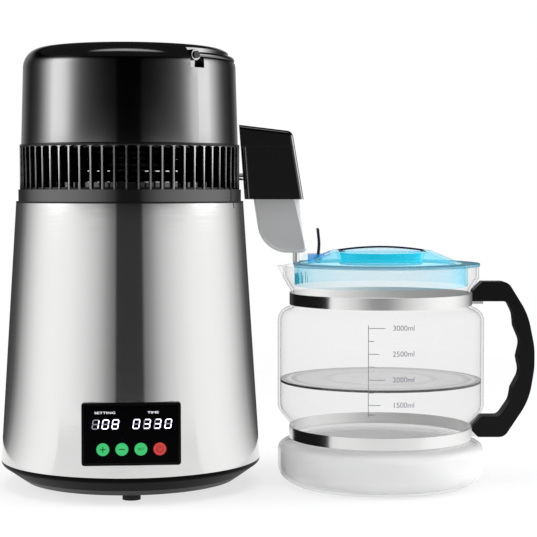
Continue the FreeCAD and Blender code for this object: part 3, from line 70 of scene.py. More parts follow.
def middleOf(node):
    low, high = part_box(node)
    return (Vector(low) + Vector(high)) / 2


stillX = middleOf("head_pan").x
jugLow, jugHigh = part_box("glass_jug")
jugX = jugHigh[0] - (jugHigh[1] - jugLow[1]) / 2


# Node trees: a socket that does its own sums, and one class per material.
class Link:
    # wraps a socket, so that a sum written in Python adds its Math nodes
    def __init__(self, tree, socket):
        self.tree = tree
        self.socket = socket

    def maths(self, operation, first, second):
        values = {0: first, 1: second}
        return addNode(self.tree, "ShaderNodeMath", {"operation": operation}, values)

    def __add__(self, other):
        return self.maths("ADD", self, other)

    __radd__ = __add__

    def __sub__(self, other):
        return self.maths("SUBTRACT", self, other)

    def __rsub__(self, other):
        return self.maths("SUBTRACT", other, self)

    def __mul__(self, other):
        return self.maths("MULTIPLY", self, other)

    __rmul__ = __mul__

    def __pow__(self, other):
        return self.maths("POWER", self, other)

    def __gt__(self, other):
        return self.maths("GREATER_THAN", self, other)

    def __lt__(self, other):
        return self.maths("LESS_THAN", self, other)

    def __abs__(self):
        return self.maths("ABSOLUTE", self, 0.0)


def addNode(tree, kind, settings, values, output=0):
    node = tree.nodes.new(kind)
    for name, value in settings.items():
        if name == "stops":
            fillRamp(node.color_ramp, value)
        else:
            setattr(node, name, value)
    for name, value in values.items():
        if isinstance(value, Link):
            tree.links.new(value.socket, node.inputs[name])
        else:
            node.inputs[name].default_value = value
    return Link(tree, node.outputs[output]) if len(node.outputs) else node


def fillRamp(ramp, stops):
    while len(ramp.elements) < len(stops):
        ramp.elements.new(0.5)
    for element, (position, level) in zip(ramp.elements, stops):
        element.position = position
        element.color = (level, level, level, 1)


class Finish:
    # one material: patterns first, then the shader that they feed
    def __init__(self, name):
        self.material = bpy.data.materials.new(name)
        self.material.use_nodes = True
        self.tree = self.material.node_tree
        self.tree.nodes.clear()
        self.place = self.add("ShaderNodeTexCoord", {}, {}, "Object")

    def add(self, kind, settings, values, output=0):
        return addNode(self.tree, kind, settings, values, output)

    def noise(self, scale, detail, stretch=(1, 1, 1)):
        spot = self.add("ShaderNodeMapping", {}, {"Vector": self.place, "Scale": stretch})
        values = {"Vector": spot, "Scale": scale, "Detail": detail}
        return self.add("ShaderNodeTexNoise", {}, values)

    def cells(self, scale, feature="F1"):
        values = {"Vector": self.place, "Scale": scale}
        return self.add("ShaderNodeTexVoronoi", {"feature": feature}, values)

    def curve(self, mask, stops):
        # a ramp of greys, from pairs of place and level
        return self.add("ShaderNodeValToRGB", {"stops": stops}, {0: mask})

    def axis(self, letter):
        # one of the three coordinates of the piece's own space
        return self.add("ShaderNodeSeparateXYZ", {}, {0: self.place}, letter)

    def reach(self, axisX):
        # how far out a spot is from an upright axis
        across = self.axis("X") - axisX
        along = self.axis("Y")
        return (across * across + along * along) ** 0.5

    def between(self, mask, first, second):
        settings = {"data_type": "RGBA"}
        values = {0: mask, 6: opaque(first), 7: opaque(second)}
        return self.add("ShaderNodeMix", settings, values, 2)

    def bump(self, height, depth):
        values = {"Height": height, "Distance": depth * mm, "Strength": 1.0}
        return self.add("ShaderNodeBump", {}, values)

    def glow(self, colour, strength=1.0):
        values = {"Color": opaque(colour), "Strength": strength}
        return self.add("ShaderNodeEmission", {}, values)

    def close(self, surface):
        self.add("ShaderNodeOutputMaterial", {}, {"Surface": surface})
        return self.material

    def dress(self, **values):
        # closes with a plain shader, whose socket names are given with _ for a space
        named = {name.replace("_", " "): opaque(value) for name, value in values.items()}
        return self.close(self.add("ShaderNodeBsdfPrincipled", {}, named))


def opaque(shade):
    if isinstance(shade, tuple) and len(shade) == 3:
        return (*shade, 1)
    return shade


def scaled(colour, share):
    return tuple(part * share for part in colour)


# Metals, from mirror steel to cast aluminium.
levelScratches = (20, 20, 1600)


def brushedSteel(name, colour, roughness, grain, depth, paintedShadeFrom=None):
    # long shallow scratches, and painted shade above the given height where one is given;
    # the patterns add about 0.07 to the roughness, which is taken off again
    finish = Finish(name)
    lines = finish.noise(1.0, 3.0, levelScratches)
    broad = finish.noise(14.0, 1.0, (1, 1, 0.4))
    smears = finish.noise(60.0, 2.0, (1, 1, 6))
    tone = lines * 0.5 + broad * 0.5
    shade = finish.between(tone, scaled(colour, 1 - grain), colour)
    # painted shade: the steel turns near black above this height
    if paintedShadeFrom:
        shade = finish.between(finish.axis("Z") > paintedShadeFrom, shade, scaled(colour, 0.05))
    rough = smears * 0.06 + lines * 0.08 + (roughness - 0.07)
    ridge = finish.bump(lines, depth)
    return finish.dress(Base_Color=shade, Metallic=1.0, Roughness=rough, Normal=ridge)


def mattInside(name, look, radius):
    # a band about the jug, polished outside, and matt and painted lighter inside the given radius,
    # where it would mirror the dark wall in front through the glass
    finish = Finish(name)
    smudge = finish.noise(35.0, 3.0)
    inside = finish.reach(jugX) < radius
    shade = finish.between(smudge, scaled(look["colour"], 0.94), look["colour"])
    # painted light: the inside is lighter
    shade = finish.between(inside, shade, scaled(look["colour"], 1.2))
    rough = smudge * 0.05 + inside * look["matt"] + look["roughness"]
    return finish.dress(Base_Color=shade, Metallic=1.0, Roughness=rough)


def litEdges(name, look):
    # black ribs with a painted sheen: grey metal along their outer edges, so that they catch
    # highlights
    finish = Finish(name)
    wear = finish.noise(300.0, 2.0, (1, 1, 0.1))
    edge = finish.reach(stillX) > look["from"] * mm
    # painted sheen on the outer edges
    shade = finish.between(edge, look["colour"], look["paintedSheenColour"])
    return finish.dress(Base_Color=shade, Metallic=edge, Roughness=wear * 0.1 + 0.2, IOR=1.2)


def steelWithPaintedHighlight(name, look):
    # brushed, with a painted highlight: pale from a slanting line on
    finish = Finish(name)
    lines = finish.noise(1.0, 3.0, levelScratches)
    below = look["highlightTop"] * mm - finish.axis("Z")
    # painted highlight: pale steel beyond a slanting line
    highlight = finish.axis("X") - below * look["highlightSlope"] > look["highlightX"] * mm
    shade = finish.between(lines, scaled(look["colour"], 0.92), look["colour"])
    shade = finish.between(highlight, shade, look["highlightColour"])
    rough = lines * 0.08 + look["roughness"]
    metallic = 0.5 - highlight * 0.4
    ridge = finish.bump(lines, 0.002)
    return finish.dress(Base_Color=shade, Metallic=metallic, Roughness=rough, Normal=ridge)


def polishedSteel(name, colour, roughness):
    finish = Finish(name)
    hairlines = finish.noise(1.0, 2.0, (90, 90, 900))
    smudge = finish.noise(35.0, 3.0)
    shade = finish.between(smudge, scaled(colour, 0.94), colour)
    rough = hairlines * 0.04 + smudge * 0.05 + roughness
    ridge = finish.bump(hairlines, 0.002)
    return finish.dress(Base_Color=shade, Metallic=1.0, Roughness=rough, Normal=ridge)


def castMetal(name, colour, roughness, pits):
    finish = Finish(name)
    pitting = finish.noise(700.0, 4.0)
    stain = finish.noise(45.0, 3.0)
    shade = finish.between(stain, scaled(colour, 0.8), colour)
    rough = stain * 0.15 + roughness
    ridge = finish.bump(pitting, pits)
    return finish.dress(Base_Color=shade, Metallic=1.0, Roughness=rough, Normal=ridge)


# Plastics, rubber and the board.
def mouldedPlastic(name, colour, roughness, grain=0.03, coat=0.0, index=1.45):
    finish = Finish(name)
    skin = finish.noise(1500.0, 2.0)
    flow = finish.noise(30.0, 2.0)
    shade = finish.between(flow, scaled(colour, 0.85), colour)
    rough = flow * 0.08 + skin * 0.05 + roughness
    return finish.dress(
        Base_Color=shade, Roughness=rough, Coat_Weight=coat, Coat_Roughness=0.06, IOR=index,
        Normal=finish.bump(skin, grain),
    )


def softRubber(name, colour):
    finish = Finish(name)
    skin = finish.noise(1800.0, 3.0)
    dust = finish.noise(90.0, 4.0)
    pale = tuple(part + 0.05 for part in colour)
    shade = finish.between(dust ** 3.0, colour, pale)
    ridge = finish.bump(skin, 0.05)
    return finish.dress(Base_Color=shade, Roughness=dust * 0.1 + 0.7, Normal=ridge)


def circuitBoard(name):
    finish = Finish(name)
    tracks = finish.cells(260.0, "DISTANCE_TO_EDGE") < 0.06
    weave = finish.noise(900.0, 1.0)
    green = finish.between(weave, (0.01, 0.11, 0.05), (0.015, 0.16, 0.07))
    shade = finish.between(tracks, green, (0.05, 0.3, 0.14))
    ridge = finish.bump(tracks, 0.05)
    return finish.dress(Base_Color=shade, Roughness=weave * 0.1 + 0.3, Normal=ridge)


def carbonGranules(name):
    finish = Finish(name)
    grains = finish.cells(900.0)
    rough = finish.noise(1500.0, 3.0)
    shade = finish.between(grains, (0.05, 0.05, 0.052), (0.012, 0.012, 0.013))
    ridge = finish.bump(grains, 0.6)
    return finish.dress(Base_Color=shade, Roughness=rough * 0.2 + 0.7, Normal=ridge)


# Glass, water and the clear lid are thin walls: what is behind shows less where one turns edge on.
def edgeOn(finish, look):
    facing = finish.add("ShaderNodeLayerWeight", {}, {"Blend": 0.5}, "Facing")
    return finish.curve(facing, look["cover"])


def clearGlass(name, look):
    # painted light: white in the foot, over the shade that shows through the glass there
    finish = Finish(name)
    film = finish.noise(40.0, 2.0)
    white = finish.curve(finish.axis("Z") * (1 / (look["paintedWhiteTop"] * mm)), look["white"])
    shade = finish.between(film, look["colour"], scaled(look["colour"], 1.2))
    # painted light: white over the foot
    shade = finish.between(white > 0.01, shade, look["paintedWhiteColour"])
    cover = edgeOn(finish, look) + film * 0.008 + white
    return finish.dress(Base_Color=shade, Roughness=film * 0.04 + 0.05, Alpha=cover)


def stillWater(name, look):
    # a painted reflection: a grey top with faint rings; and painted shade: a dark edge where it
    # climbs the glass
    finish = Finish(name)
    height = finish.axis("Z")
    sway = finish.noise(30.0, 1.0)
    reach = finish.reach(jugX) + sway * look["sway"]
    # painted reflection: grey rings on the top
    rings = finish.curve(reach * (1 / (look["radius"] * mm)), look["rings"])
    top = height > (look["level"] - look["skin"]) * mm
    foot = height < look["footTop"] * mm
    behind = finish.add("ShaderNodeNewGeometry", {}, {}, "Backfacing")
    climb = (height > (look["level"] - look["climb"]) * mm) * (1 - top) * (1 - behind)
    side = (1 - top) * (1 - foot) * edgeOn(finish, look)
    cover = top * rings + climb * look["climbCover"] + side
    # painted shade: the dark line where the water climbs the glass
    shade = finish.between(climb, look["colour"], look["climbShade"])
    return finish.dress(Base_Color=shade, Roughness=sway * 0.05 + 0.04, Alpha=cover)


def tintedPlastic(name, look):
    # clear colour, deeper in the flange, and painted shade along the crest of the grip
    finish = Finish(name)
    flow = finish.noise(25.0, 2.0)
    height = finish.axis("Z")
    across = finish.axis("X") - jugX
    bottom, top = (level * mm for level in look["flange"])
    flange = (height > bottom) * (height < top)
    arch = look["crest"] * mm - across * across * (0.5 / (look["archRadius"] * mm))
    crest = (height > arch - look["crestDepth"] * mm) * (abs(across) < look["crestReach"] * mm)
    shade = finish.between(flow, look["colour"], scaled(look["colour"], 0.9))
    shade = finish.between(flange, shade, look["flangeColour"])
    start, end, half = (part * mm for part in look["hatch"])
    hatch = (across > start) * (across < end) * (abs(finish.axis("Y")) < half) * (height > top)
    shade = finish.between(hatch, shade, look["hatchColour"])
    # painted shade: a near-black line along the crest of the grip
    shade = finish.between(crest, shade, look["crestShade"])
    cover = edgeOn(finish, look) + flange * look["flangeCover"]
    cover = cover + crest * look["crestCover"] + hatch * look["hatchCover"]
    # painted light: the plastic glows in its own colour
    return finish.dress(
        Base_Color=shade, Roughness=flow * 0.04 + 0.05, Alpha=cover, Emission_Color=shade,
        Emission_Strength=look["glow"],
    )


# Lit and printed marks.
def glowing(name, colour, strength):
    finish = Finish(name)
    flicker = finish.noise(400.0, 1.0)
    light = finish.between(flicker, scaled(colour, 0.85), colour)
    return finish.dress(
        Base_Color=scaled(colour, 0.5), Emission_Color=light, Emission_Strength=strength,
        Roughness=flicker * 0.1 + 0.3,
    )


def printedInk(name, colour):
    finish = Finish(name)
    screen = finish.noise(1200.0, 1.0)
    shade = finish.between(screen, scaled(colour, 0.9), colour)
    return finish.dress(Base_Color=shade, Roughness=screen * 0.1 + 0.45)


glassLook = {
    "colour": (0.2, 0.205, 0.205),
    # how far a wall is turned from the eye, and how much it hides
    "cover": ((0, 0.036), (0.6, 0.045), (0.8, 0.085), (0.92, 0.26), (1, 0.72)),
    # shares of the foot's height, and how much painted white covers it there
    "white": ((0, 0.1), (0.12, 0.3), (0.3, 0.42), (0.8, 0.42), (1, 0)),
    "paintedWhiteTop": 42.0,
    "paintedWhiteColour": (0.98, 0.98, 0.98),
}
waterLook = {
    "level": 90.4,         # millimetres above the floor
    "radius": 86.9,
    "gap": 0.08,           # between the water and the glass
    "skin": 0.02,          # all that lies deeper counts as the side
    "colour": (0.09, 0.09, 0.092),
    "cover": ((0, 0.004), (0.8, 0.03), (0.93, 0.14), (1, 0.6)),
    # shares of the radius, and how much the top's painted reflection hides there
    "rings": ((0, 0.28), (0.5, 0.28), (0.56, 0.38), (0.62, 0.3), (0.84, 0.32), (0.9, 0.5),
              (0.94, 0.28), (0.985, 0.54)),
    "sway": 0.004,         # how far the rings stray from round, in metres
    "climb": 2.0,
    # painted shade where the water climbs the glass
    "climbShade": (0.01, 0.01, 0.011),
    "climbCover": 0.95,
    "footTop": 36.0,       # below this height the water's side doesn't show
}
lidLook = {
    "colour": (0.015, 0.74, 1.0),
    "cover": ((0, 0.07), (0.35, 0.11), (0.6, 0.2), (0.85, 0.3), (1, 0.5)),
    "glow": 0.3,           # painted light: a glow in place of the light that the plastic passes on
    "flange": (188.4, 190.7),
    "flangeColour": (0.0, 0.2, 0.3),
    "flangeCover": 0.4,
    "crest": 205.4,
    "crestDepth": 1.5,
    "crestReach": 37.0,
    "archRadius": 235.0,
    "crestShade": (0.0, 0.01, 0.03),
    "crestCover": 0.9,
    "hatch": (-63.0, -44.0, 14.0),     # the flap's hole: from, to and half its width
    "hatchColour": (0.01, 0.28, 0.7),
    "hatchCover": 0.55,
}
# the ribs' painted sheen starts at this reach, in millimetres
ribLook = {"from": 93.6, "colour": (0.002, 0.002, 0.0022), "paintedSheenColour": (0.5, 0.5, 0.5)}
nozzleLook = {
    "colour": (0.6, 0.6, 0.605),
    "highlightColour": (0.97, 0.97, 0.97),
    "roughness": 0.38,
    "highlightTop": 244.4,
    "highlightX": 22.9,         # where the painted highlight starts at that height
    "highlightSlope": 0.231,    # and how much further across it starts per millimetre of drop
}
bandLook = {
    "colour": (0.76, 0.76, 0.755),
    "roughness": 0.2,
    "matt": 0.4,           # how much rougher the inside is
    "skin": 0.4,           # depth of the polished outside
}
bandMiddle = (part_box("upper_band")[1][1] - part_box("upper_band")[0][1]) / 2 - bandLook["skin"] * mm
rimShadeDepth = 1.6             # depth of the painted shade on the pot's rim, down from its top
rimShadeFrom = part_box("boiler_pot")[1][2] - rimShadeDepth * mm
finishes = {
    "shell": brushedSteel("shellSteel", (0.70, 0.70, 0.695), 0.09, 0.05, 0.001),
    "collar": mouldedPlastic("collarBlack", (0.003, 0.003, 0.0032), 0.06, 0.001, index=2.0),
    "pot": brushedSteel("potSteel", (0.66, 0.66, 0.67), 0.3, 0.16, 0.008, paintedShadeFrom=rimShadeFrom),
    "nozzle": steelWithPaintedHighlight("nozzleSteel", nozzleLook),
    "polished": polishedSteel("polishedSteel", (0.78, 0.78, 0.785), 0.05),
    "band": mattInside("bandSteel", bandLook, bandMiddle),
    "pin": polishedSteel("pinSteel", (0.05, 0.05, 0.052), 0.4),
    "screw": polishedSteel("screwSteel", (0.5, 0.5, 0.51), 0.22),
    "castPlate": castMetal("castAluminium", (0.62, 0.62, 0.63), 0.42, 0.04),
    # painted shade: fins and coil are near black, as they sit in the shade inside the head
    "fins": castMetal("finAluminium", (0.012, 0.012, 0.0125), 0.5, 0.01),
    "coil": polishedSteel("coilSteel", (0.014, 0.014, 0.0145), 0.4),
    "brass": castMetal("contactBrass", (0.78, 0.6, 0.28), 0.25, 0.01),
    "gloss": mouldedPlastic("glossBlack", (0.0004, 0.0004, 0.0005), 0.05, 0.001, index=2.5),
    "bezel": mouldedPlastic("bezelBlack", (0.001, 0.001, 0.0011), 0.15, 0.001, index=1.22),
    "window": mouldedPlastic("smokedWindow", (0.001, 0.001, 0.0015), 0.1, 0.001, index=1.1),
    "satin": mouldedPlastic("satinBlack", (0.016, 0.016, 0.017), 0.42),
    "handle": mouldedPlastic("handleBlack", (0.002, 0.002, 0.0022), 0.3, 0.02, index=1.25),
    "ribs": litEdges("ribBlack", ribLook),
    "hoops": mouldedPlastic("hoopBlack", (0.002, 0.002, 0.0022), 0.2, 0.01, index=1.42),
    "baseRing": mouldedPlastic("ringBlack", (0.002, 0.002, 0.0022), 0.35, 0.01, index=1.12),
    "rubber": softRubber("footRubber", (0.006, 0.006, 0.0065)),
    "silicone": softRubber("sealSilicone", (0.5, 0.5, 0.5)),
    "board": circuitBoard("boardGreen"),
    "carbon": carbonGranules("carbon"),
    "glass": clearGlass("jugGlass", glassLook),
    "water": stillWater("water", waterLook),
    "lid": tintedPlastic("lidBlue", lidLook),
    "flap": mouldedPlastic("flapDark", (0.012, 0.02, 0.035), 0.15, 0.004, coat=0.6),
    "buttonGreen": glowing("buttonGreen", (0.03, 0.55, 0.15), 0.6),
    "buttonRed": glowing("buttonRed", (0.6, 0.035, 0.03), 0.6),
    "ink": printedInk("scaleInk", (0.2, 0.2, 0.25)),
    "greenInk": printedInk("greenInk", (0.0, 0.045, 0.004)),
    "redInk": printedInk("redInk", (0.12, 0.002, 0.002)),
    "digitGlow": glowing("digitGlow", (0.86, 0.82, 1.0), 2.2),
    # painted light: the unlit bars glow faintly, in place of the light they reflect behind the window
    "ghostGlow": glowing("ghostGlow", (0.5, 0.48, 0.62), 0.25),
    "labelGlow": glowing("labelGlow", (0.8, 0.78, 0.86), 1.3),
}
finishOfNode = {
    "foot_front": "rubber", "foot_right": "rubber", "foot_back": "rubber", "foot_left": "rubber",
    "base_plate": "satin", "base_ring": "baseRing", "outer_shell": "shell", "boiler_pot": "pot",
    "base_screw_1": "screw", "base_screw_2": "screw", "base_screw_3": "screw",
    "base_screw_4": "screw", "heater_plate": "castPlate", "heater_element": "screw",
    "thermostat": "satin", "dry_cutout": "satin", "panel_bezel": "bezel",
    "display_window": "window", "display_module": "satin", "control_board": "board",
    "button_plus": "buttonGreen", "button_minus": "buttonGreen", "button_set": "buttonGreen",
    "button_power": "buttonRed", "power_inlet": "satin", "inlet_contacts": "brass",
    "fan_outlet": "satin", "fan_inlet": "satin", "head_pan": "collar", "gasket": "silicone",
    "vent_ring": "ribs", "steam_riser": "pot", "condenser_coil": "coil",
    "condenser_fins": "fins", "outlet_tube": "polished", "fan_blades": "satin",
    "fan_motor": "screw", "motor_bracket": "screw", "head_cover": "gloss",
    "top_grille": "gloss", "carry_handle": "gloss", "pivot_pin_front": "pin",
    "pivot_pin_rear": "pin", "spout_housing": "gloss", "spout_cap": "gloss",
    "nozzle": "nozzle", "charcoal_filter": "carbon", "drip_tube": "polished",
    "glass_jug": "glass", "upper_band": "band", "lower_band": "band",
    "jug_handle": "handle", "clamp_screw_upper": "screw", "clamp_screw_lower": "screw",
    "jug_lid": "lid", "lid_flap": "flap", "flap_pin": "screw",
}
for node, finishName in finishOfNode.items():
    nodes[node].data.materials.clear()
    nodes[node].data.materials.append(finishes[finishName])
print("finishes:", len(finishes))


# Making pieces: a mesh, a finish and the body that carries it.
def addPiece(name, mesh, finishName, body, slot, replaced=()):
    mesh.materials.clear()
    mesh.materials.append(finishes[finishName])
    piece = bpy.data.objects.new(name, mesh)
    bpy.context.scene.collection.objects.link(piece)
    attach(piece, body)
    if replaced:
        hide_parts(*replaced)
    return piece


def meshFrom(name, build):
    shape = bmesh.new()
    build(shape)
    bmesh.ops.remove_doubles(shape, verts=shape.verts, dist=0.001 * mm)
    bmesh.ops.recalc_face_normals(shape, faces=shape.faces)
    mesh = bpy.data.meshes.new(name)
    shape.to_mesh(mesh)
    shape.free()
    return mesh


def smoothed(mesh, limit=35):
    # soft shading, but for edges sharper than the limit in degrees
    mesh.shade_smooth()
    mesh.set_sharp_from_angle(angle=math.radians(limit))
    return mesh


def roundedPath(corners, closed=True, steps=6):
    # corners are (x, y) or (x, y, rounding)
    path = []
    for index, corner in enumerate(corners):
        here = Vector(corner[:2])
        atEnd = not closed and index in (0, len(corners) - 1)
        if len(corner) == 2 or atEnd:
            path.append(here)
            continue
        before = (Vector(corners[index - 1][:2]) - here).normalized()
        after = (Vector(corners[(index + 1) % len(corners)][:2]) - here).normalized()
        half = before.angle(after) / 2
        centre = here + (before + after).normalized() * (corner[2] / math.sin(half))
        arm = here + before * (corner[2] / math.tan(half)) - centre
        end = here + after * (corner[2] / math.tan(half)) - centre
        sweep = math.atan2(arm.cross(end), arm.dot(end))
        for step in range(steps + 1):
            path.append(centre + Matrix.Rotation(sweep * step / steps, 2) @ arm)
    return path


def latheMesh(name, path, axisX, segments=192, closed=True):
    # path points are (radius, height) in millimetres
    def build(shape):
        rings = []
        for step in range(segments):
            angle = 2 * math.pi * step / segments
            side = Vector((math.cos(angle), math.sin(angle), 0))
            ring = []
            for radius, height in path:
                spot = side * radius * mm + Vector((axisX, 0, height * mm))
                ring.append(shape.verts.new(spot))
            rings.append(ring)
        last = len(path) if closed else len(path) - 1
        for ring, follower in zip(rings, rings[1:] + rings[:1]):
            for index in range(last):
                after = (index + 1) % len(path)
                corners = (ring[index], follower[index], follower[after], ring[after])
                shape.faces.new(corners)

    return smoothed(meshFrom(name, build))


def plateMesh(name, outlines, thickness, place):
    # flat outlines, each a list of (x, y), made solid and put in place by a function
    def build(shape):
        for outline in outlines:
            front = [shape.verts.new((x * mm, y * mm, 0)) for x, y in outline]
            back = [shape.verts.new((x * mm, y * mm, -thickness * mm)) for x, y in outline]
            shape.faces.new(front)
            shape.faces.new(back[::-1])
            for index in range(len(outline)):
                after = (index + 1) % len(outline)
                sides = (front[index], back[index], back[after], front[after])
                shape.faces.new(sides)
        for vertex in shape.verts:
            vertex.co = place(vertex.co)

    return meshFrom(name, build)


def textMesh(name, words, size, centre, thickness, place, stretch=1.0):
    # centre is where the words' middle comes, in millimetres
    curve = bpy.data.curves.new(name, "FONT")
    curve.body = words
    curve.size = size * mm
    curve.align_x = "CENTER"
    curve.align_y = "CENTER"
    curve.extrude = thickness * mm / 2
    curve.resolution_u = 6
    holder = bpy.data.objects.new(name, curve)
    bpy.context.scene.collection.objects.link(holder)
    view = bpy.context.evaluated_depsgraph_get()
    mesh = bpy.data.meshes.new_from_object(holder.evaluated_get(view))
    bpy.data.objects.remove(holder)
    for vertex in mesh.vertices:
        spot = vertex.co * Vector((stretch, 1, 1)) + Vector((centre[0] * mm, centre[1] * mm, 0))
        vertex.co = place(spot)
    return mesh


def joined(name, meshes):
    # one mesh from several, each with its own shading kept
    shape = bmesh.new()
    for mesh in meshes:
        shape.from_mesh(mesh)
    result = bpy.data.meshes.new(name)
    shape.to_mesh(result)
    shape.free()
    return result


# Repeated pieces come from one tree that copies a shape round an upright axis.
def ringTree():
    tree = bpy.data.node_groups.new("copiesRound", "GeometryNodeTree")
    for name, kind in (
        ("Shape", "Geometry"), ("Count", "Int"), ("First Turn", "Float"), ("Axis", "Vector"),
        ("Finish", "Material"),
    ):
        tree.interface.new_socket(name, in_out="INPUT", socket_type=f"NodeSocket{kind}")
    tree.interface.new_socket("Shape", in_out="OUTPUT", socket_type="NodeSocketGeometry")
    given = tree.nodes.new("NodeGroupInput")
    wire = {socket.name: Link(tree, socket) for socket in given.outputs if socket.name}
    number = addNode(tree, "GeometryNodeInputIndex", {}, {})
    whole = {0: math.tau, 1: wire["Count"]}
    step = addNode(tree, "ShaderNodeMath", {"operation": "DIVIDE"}, whole)
    turn = addNode(tree, "ShaderNodeCombineXYZ", {}, {"Z": number * step + wire["First Turn"]})
    spots = addNode(tree, "GeometryNodePoints", {}, {"Count": wire["Count"]})
    copies = addNode(
        tree, "GeometryNodeInstanceOnPoints", {},
        {"Points": spots, "Instance": wire["Shape"], "Rotation": turn},
    )
    real = addNode(tree, "GeometryNodeRealizeInstances", {}, {0: copies})
    moved = addNode(
        tree, "GeometryNodeTransform", {}, {"Geometry": real, "Translation": wire["Axis"]}
    )
    dressed = addNode(
        tree, "GeometryNodeSetMaterial", {}, {"Geometry": moved, "Material": wire["Finish"]}
    )
    addNode(tree, "NodeGroupOutput", {}, {0: dressed})
    return tree


copiesRound = ringTree()


def ringOf(name, mesh, count, firstTurn, axis, finishName):
    # a plain mesh of count copies of a shape that is drawn about the origin
    holder = bpy.data.objects.new(name, mesh)
    bpy.context.scene.collection.objects.link(holder)
    copier = holder.modifiers.new("copies", "NODES")
    copier.node_group = copiesRound
    given = {
        "Count": count,
        "First Turn": firstTurn,
        "Axis": axis,
        "Finish": finishes[finishName],
    }
    for socket in copiesRound.interface.items_tree:
        if socket.in_out == "INPUT" and socket.name in given:
            copier[socket.identifier] = given[socket.name]
    view = bpy.context.evaluated_depsgraph_get()
    result = bpy.data.meshes.new_from_object(holder.evaluated_get(view))
    bpy.data.objects.remove(holder)
    return result


# The vent cage has upright ribs between two hoops.
ventCage = {
    "count": 60,
    "ribWidth": 1.3,
    "ribDepth": 6.3,
    "radius": 94.3,
    "archRise": 0.6,      # the slots end in shallow arches
    "archSteps": 6,
    "archGap": 0.02,      # between the arches of two ribs
    "foot": 1.8,
    "footDepth": 5.0,
    "hoop": 2.6,
    "hoopEdge": 0.4,
    "hoopFaces": 240,
    "edge": 0.58,         # rounding of the ribs' upright front edges
    "longEdge": 5.0,      # only edges longer than this are rounded
}


def ribMesh(cage, low, high):
    half = cage["ribWidth"] / 2
    outer = cage["radius"]
    inner = cage["radius"] - cage["ribDepth"]
    reach = math.pi * inner / cage["count"] - cage["archGap"]
    top = high - cage["hoop"]
    arch = []
    for step in range(cage["archSteps"] + 1):
        swing = math.radians(90 * step / cage["archSteps"])
        x = half + (reach - half) * (1 - math.cos(swing))
        arch.append((x, top - cage["archRise"] * (1 - math.sin(swing))))
    right = [(half, low)] + arch
    outline = right + [(-x, z) for x, z in reversed(right)]

    def build(shape):
        front = [shape.verts.new((outer * mm, x * mm, z * mm)) for x, z in outline]
        back = [shape.verts.new((inner * mm, x * mm, z * mm)) for x, z in outline]
        shape.faces.new(front)
        shape.faces.new(back[::-1])
        for index in range(len(outline)):
            after = (index + 1) % len(outline)
            shape.faces.new((front[index], back[index], back[after], front[after]))
        edges = [
            edge for edge in shape.edges
            if all(vertex.co.x > (inner + outer) / 2 * mm for vertex in edge.verts)
            and abs(edge.verts[0].co.z - edge.verts[1].co.z) > cage["longEdge"] * mm
        ]
        bmesh.ops.bevel(shape, geom=edges, offset=cage["edge"] * mm, segments=2, affect="EDGES")

    return smoothed(meshFrom("rib", build), 40)


def addVentCage(cage):
    low, high = (corner[2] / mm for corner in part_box("vent_ring"))
    ribs = ringOf(
        "ribs", ribMesh(cage, low, high), cage["count"], math.pi / cage["count"],
        (stillX, 0, 0), "ribs",
    )
    inner = cage["radius"] - cage["ribDepth"]
    hoops = []
    edge = cage["hoopEdge"]
    for bottom, top, outer in (
        (low, low + cage["foot"], inner + cage["footDepth"]),
        (high - cage["hoop"], high, cage["radius"]),
    ):
        corners = [(inner, bottom), (outer, bottom, edge), (outer, top, edge), (inner, top)]
        path = roundedPath(corners, steps=3)
        hoops.append(latheMesh("hoop", path, stillX, cage["hoopFaces"]))
    slot = slotOfNode["vent_ring"]
    addPiece("ventRibs", ribs, "ribs", "head", slot, ["vent_ring"])
    addPiece("ventHoops", joined("ventHoops", hoops), "hoops", "head", slot)
    print("vent cage:", cage["count"], "ribs")


addVentCage(ventCage)

# The panel's lights and legends.
panel = {
    "turn": 4.93,
    "lean": 3.667,
    "glass": 0.62,        # from the bezel's face back to the window
    "digitHeight": 7.1,
    "digitWidth": 4.7,
    "barWidth": 0.82,
    "barGap": 0.18,
    "slant": 0.15,
    "digitZ": 8.0,
    "labelZ": 17.1,
    "labelSize": 2.6,
    "labelStretch": 1.65,
    "labels": (("SETTING", -21.0), ("TIME", 17.5)),
    "buttons": ("plus", "minus", "set", "power"),
    "buttonZ": -12.2,
    "pitch": 15.2,
    "buttonRise": 0.5,    # above the window
    "iconSize": 2.7,
    "markLength": 1.7,    # in icon sizes
    "markStroke": 0.75,
    "arcStroke": 0.55,
    "arcInset": 0.5,
    "arcTurn": (125, 415),
    "stemMiddle": 0.65,   # above the button's middle, in icon sizes
    "stemLength": 1.1,    # in icon sizes
    "setSize": 3.0,
    "film": 0.06,
    # digits, where the first one starts and how far apart they are
    "readings": (("108", -31.4, 7.9), ("0330", 1.2, 8.5)),
    "bezelDepth": 12.5,
}
bezelMiddle = middleOf("panel_bezel")
panelTurn = Matrix.Rotation(math.radians(panel["turn"]), 4, "Z")
panelLean = Matrix.Rotation(math.radians(-panel["lean"]), 4, "X")
panelAxes = (panelTurn @ panelLean).to_3x3()
panelFace = bezelMiddle - panelAxes @ Vector((0, panel["bezelDepth"] / 2 * mm, 0))


def onPanel(depth):
    # x runs right and y up the face; the depth is measured in from the bezel's face
    def place(spot):
        return panelFace + panelAxes @ Vector((spot.x, depth * mm - spot.z, spot.y))

    return place


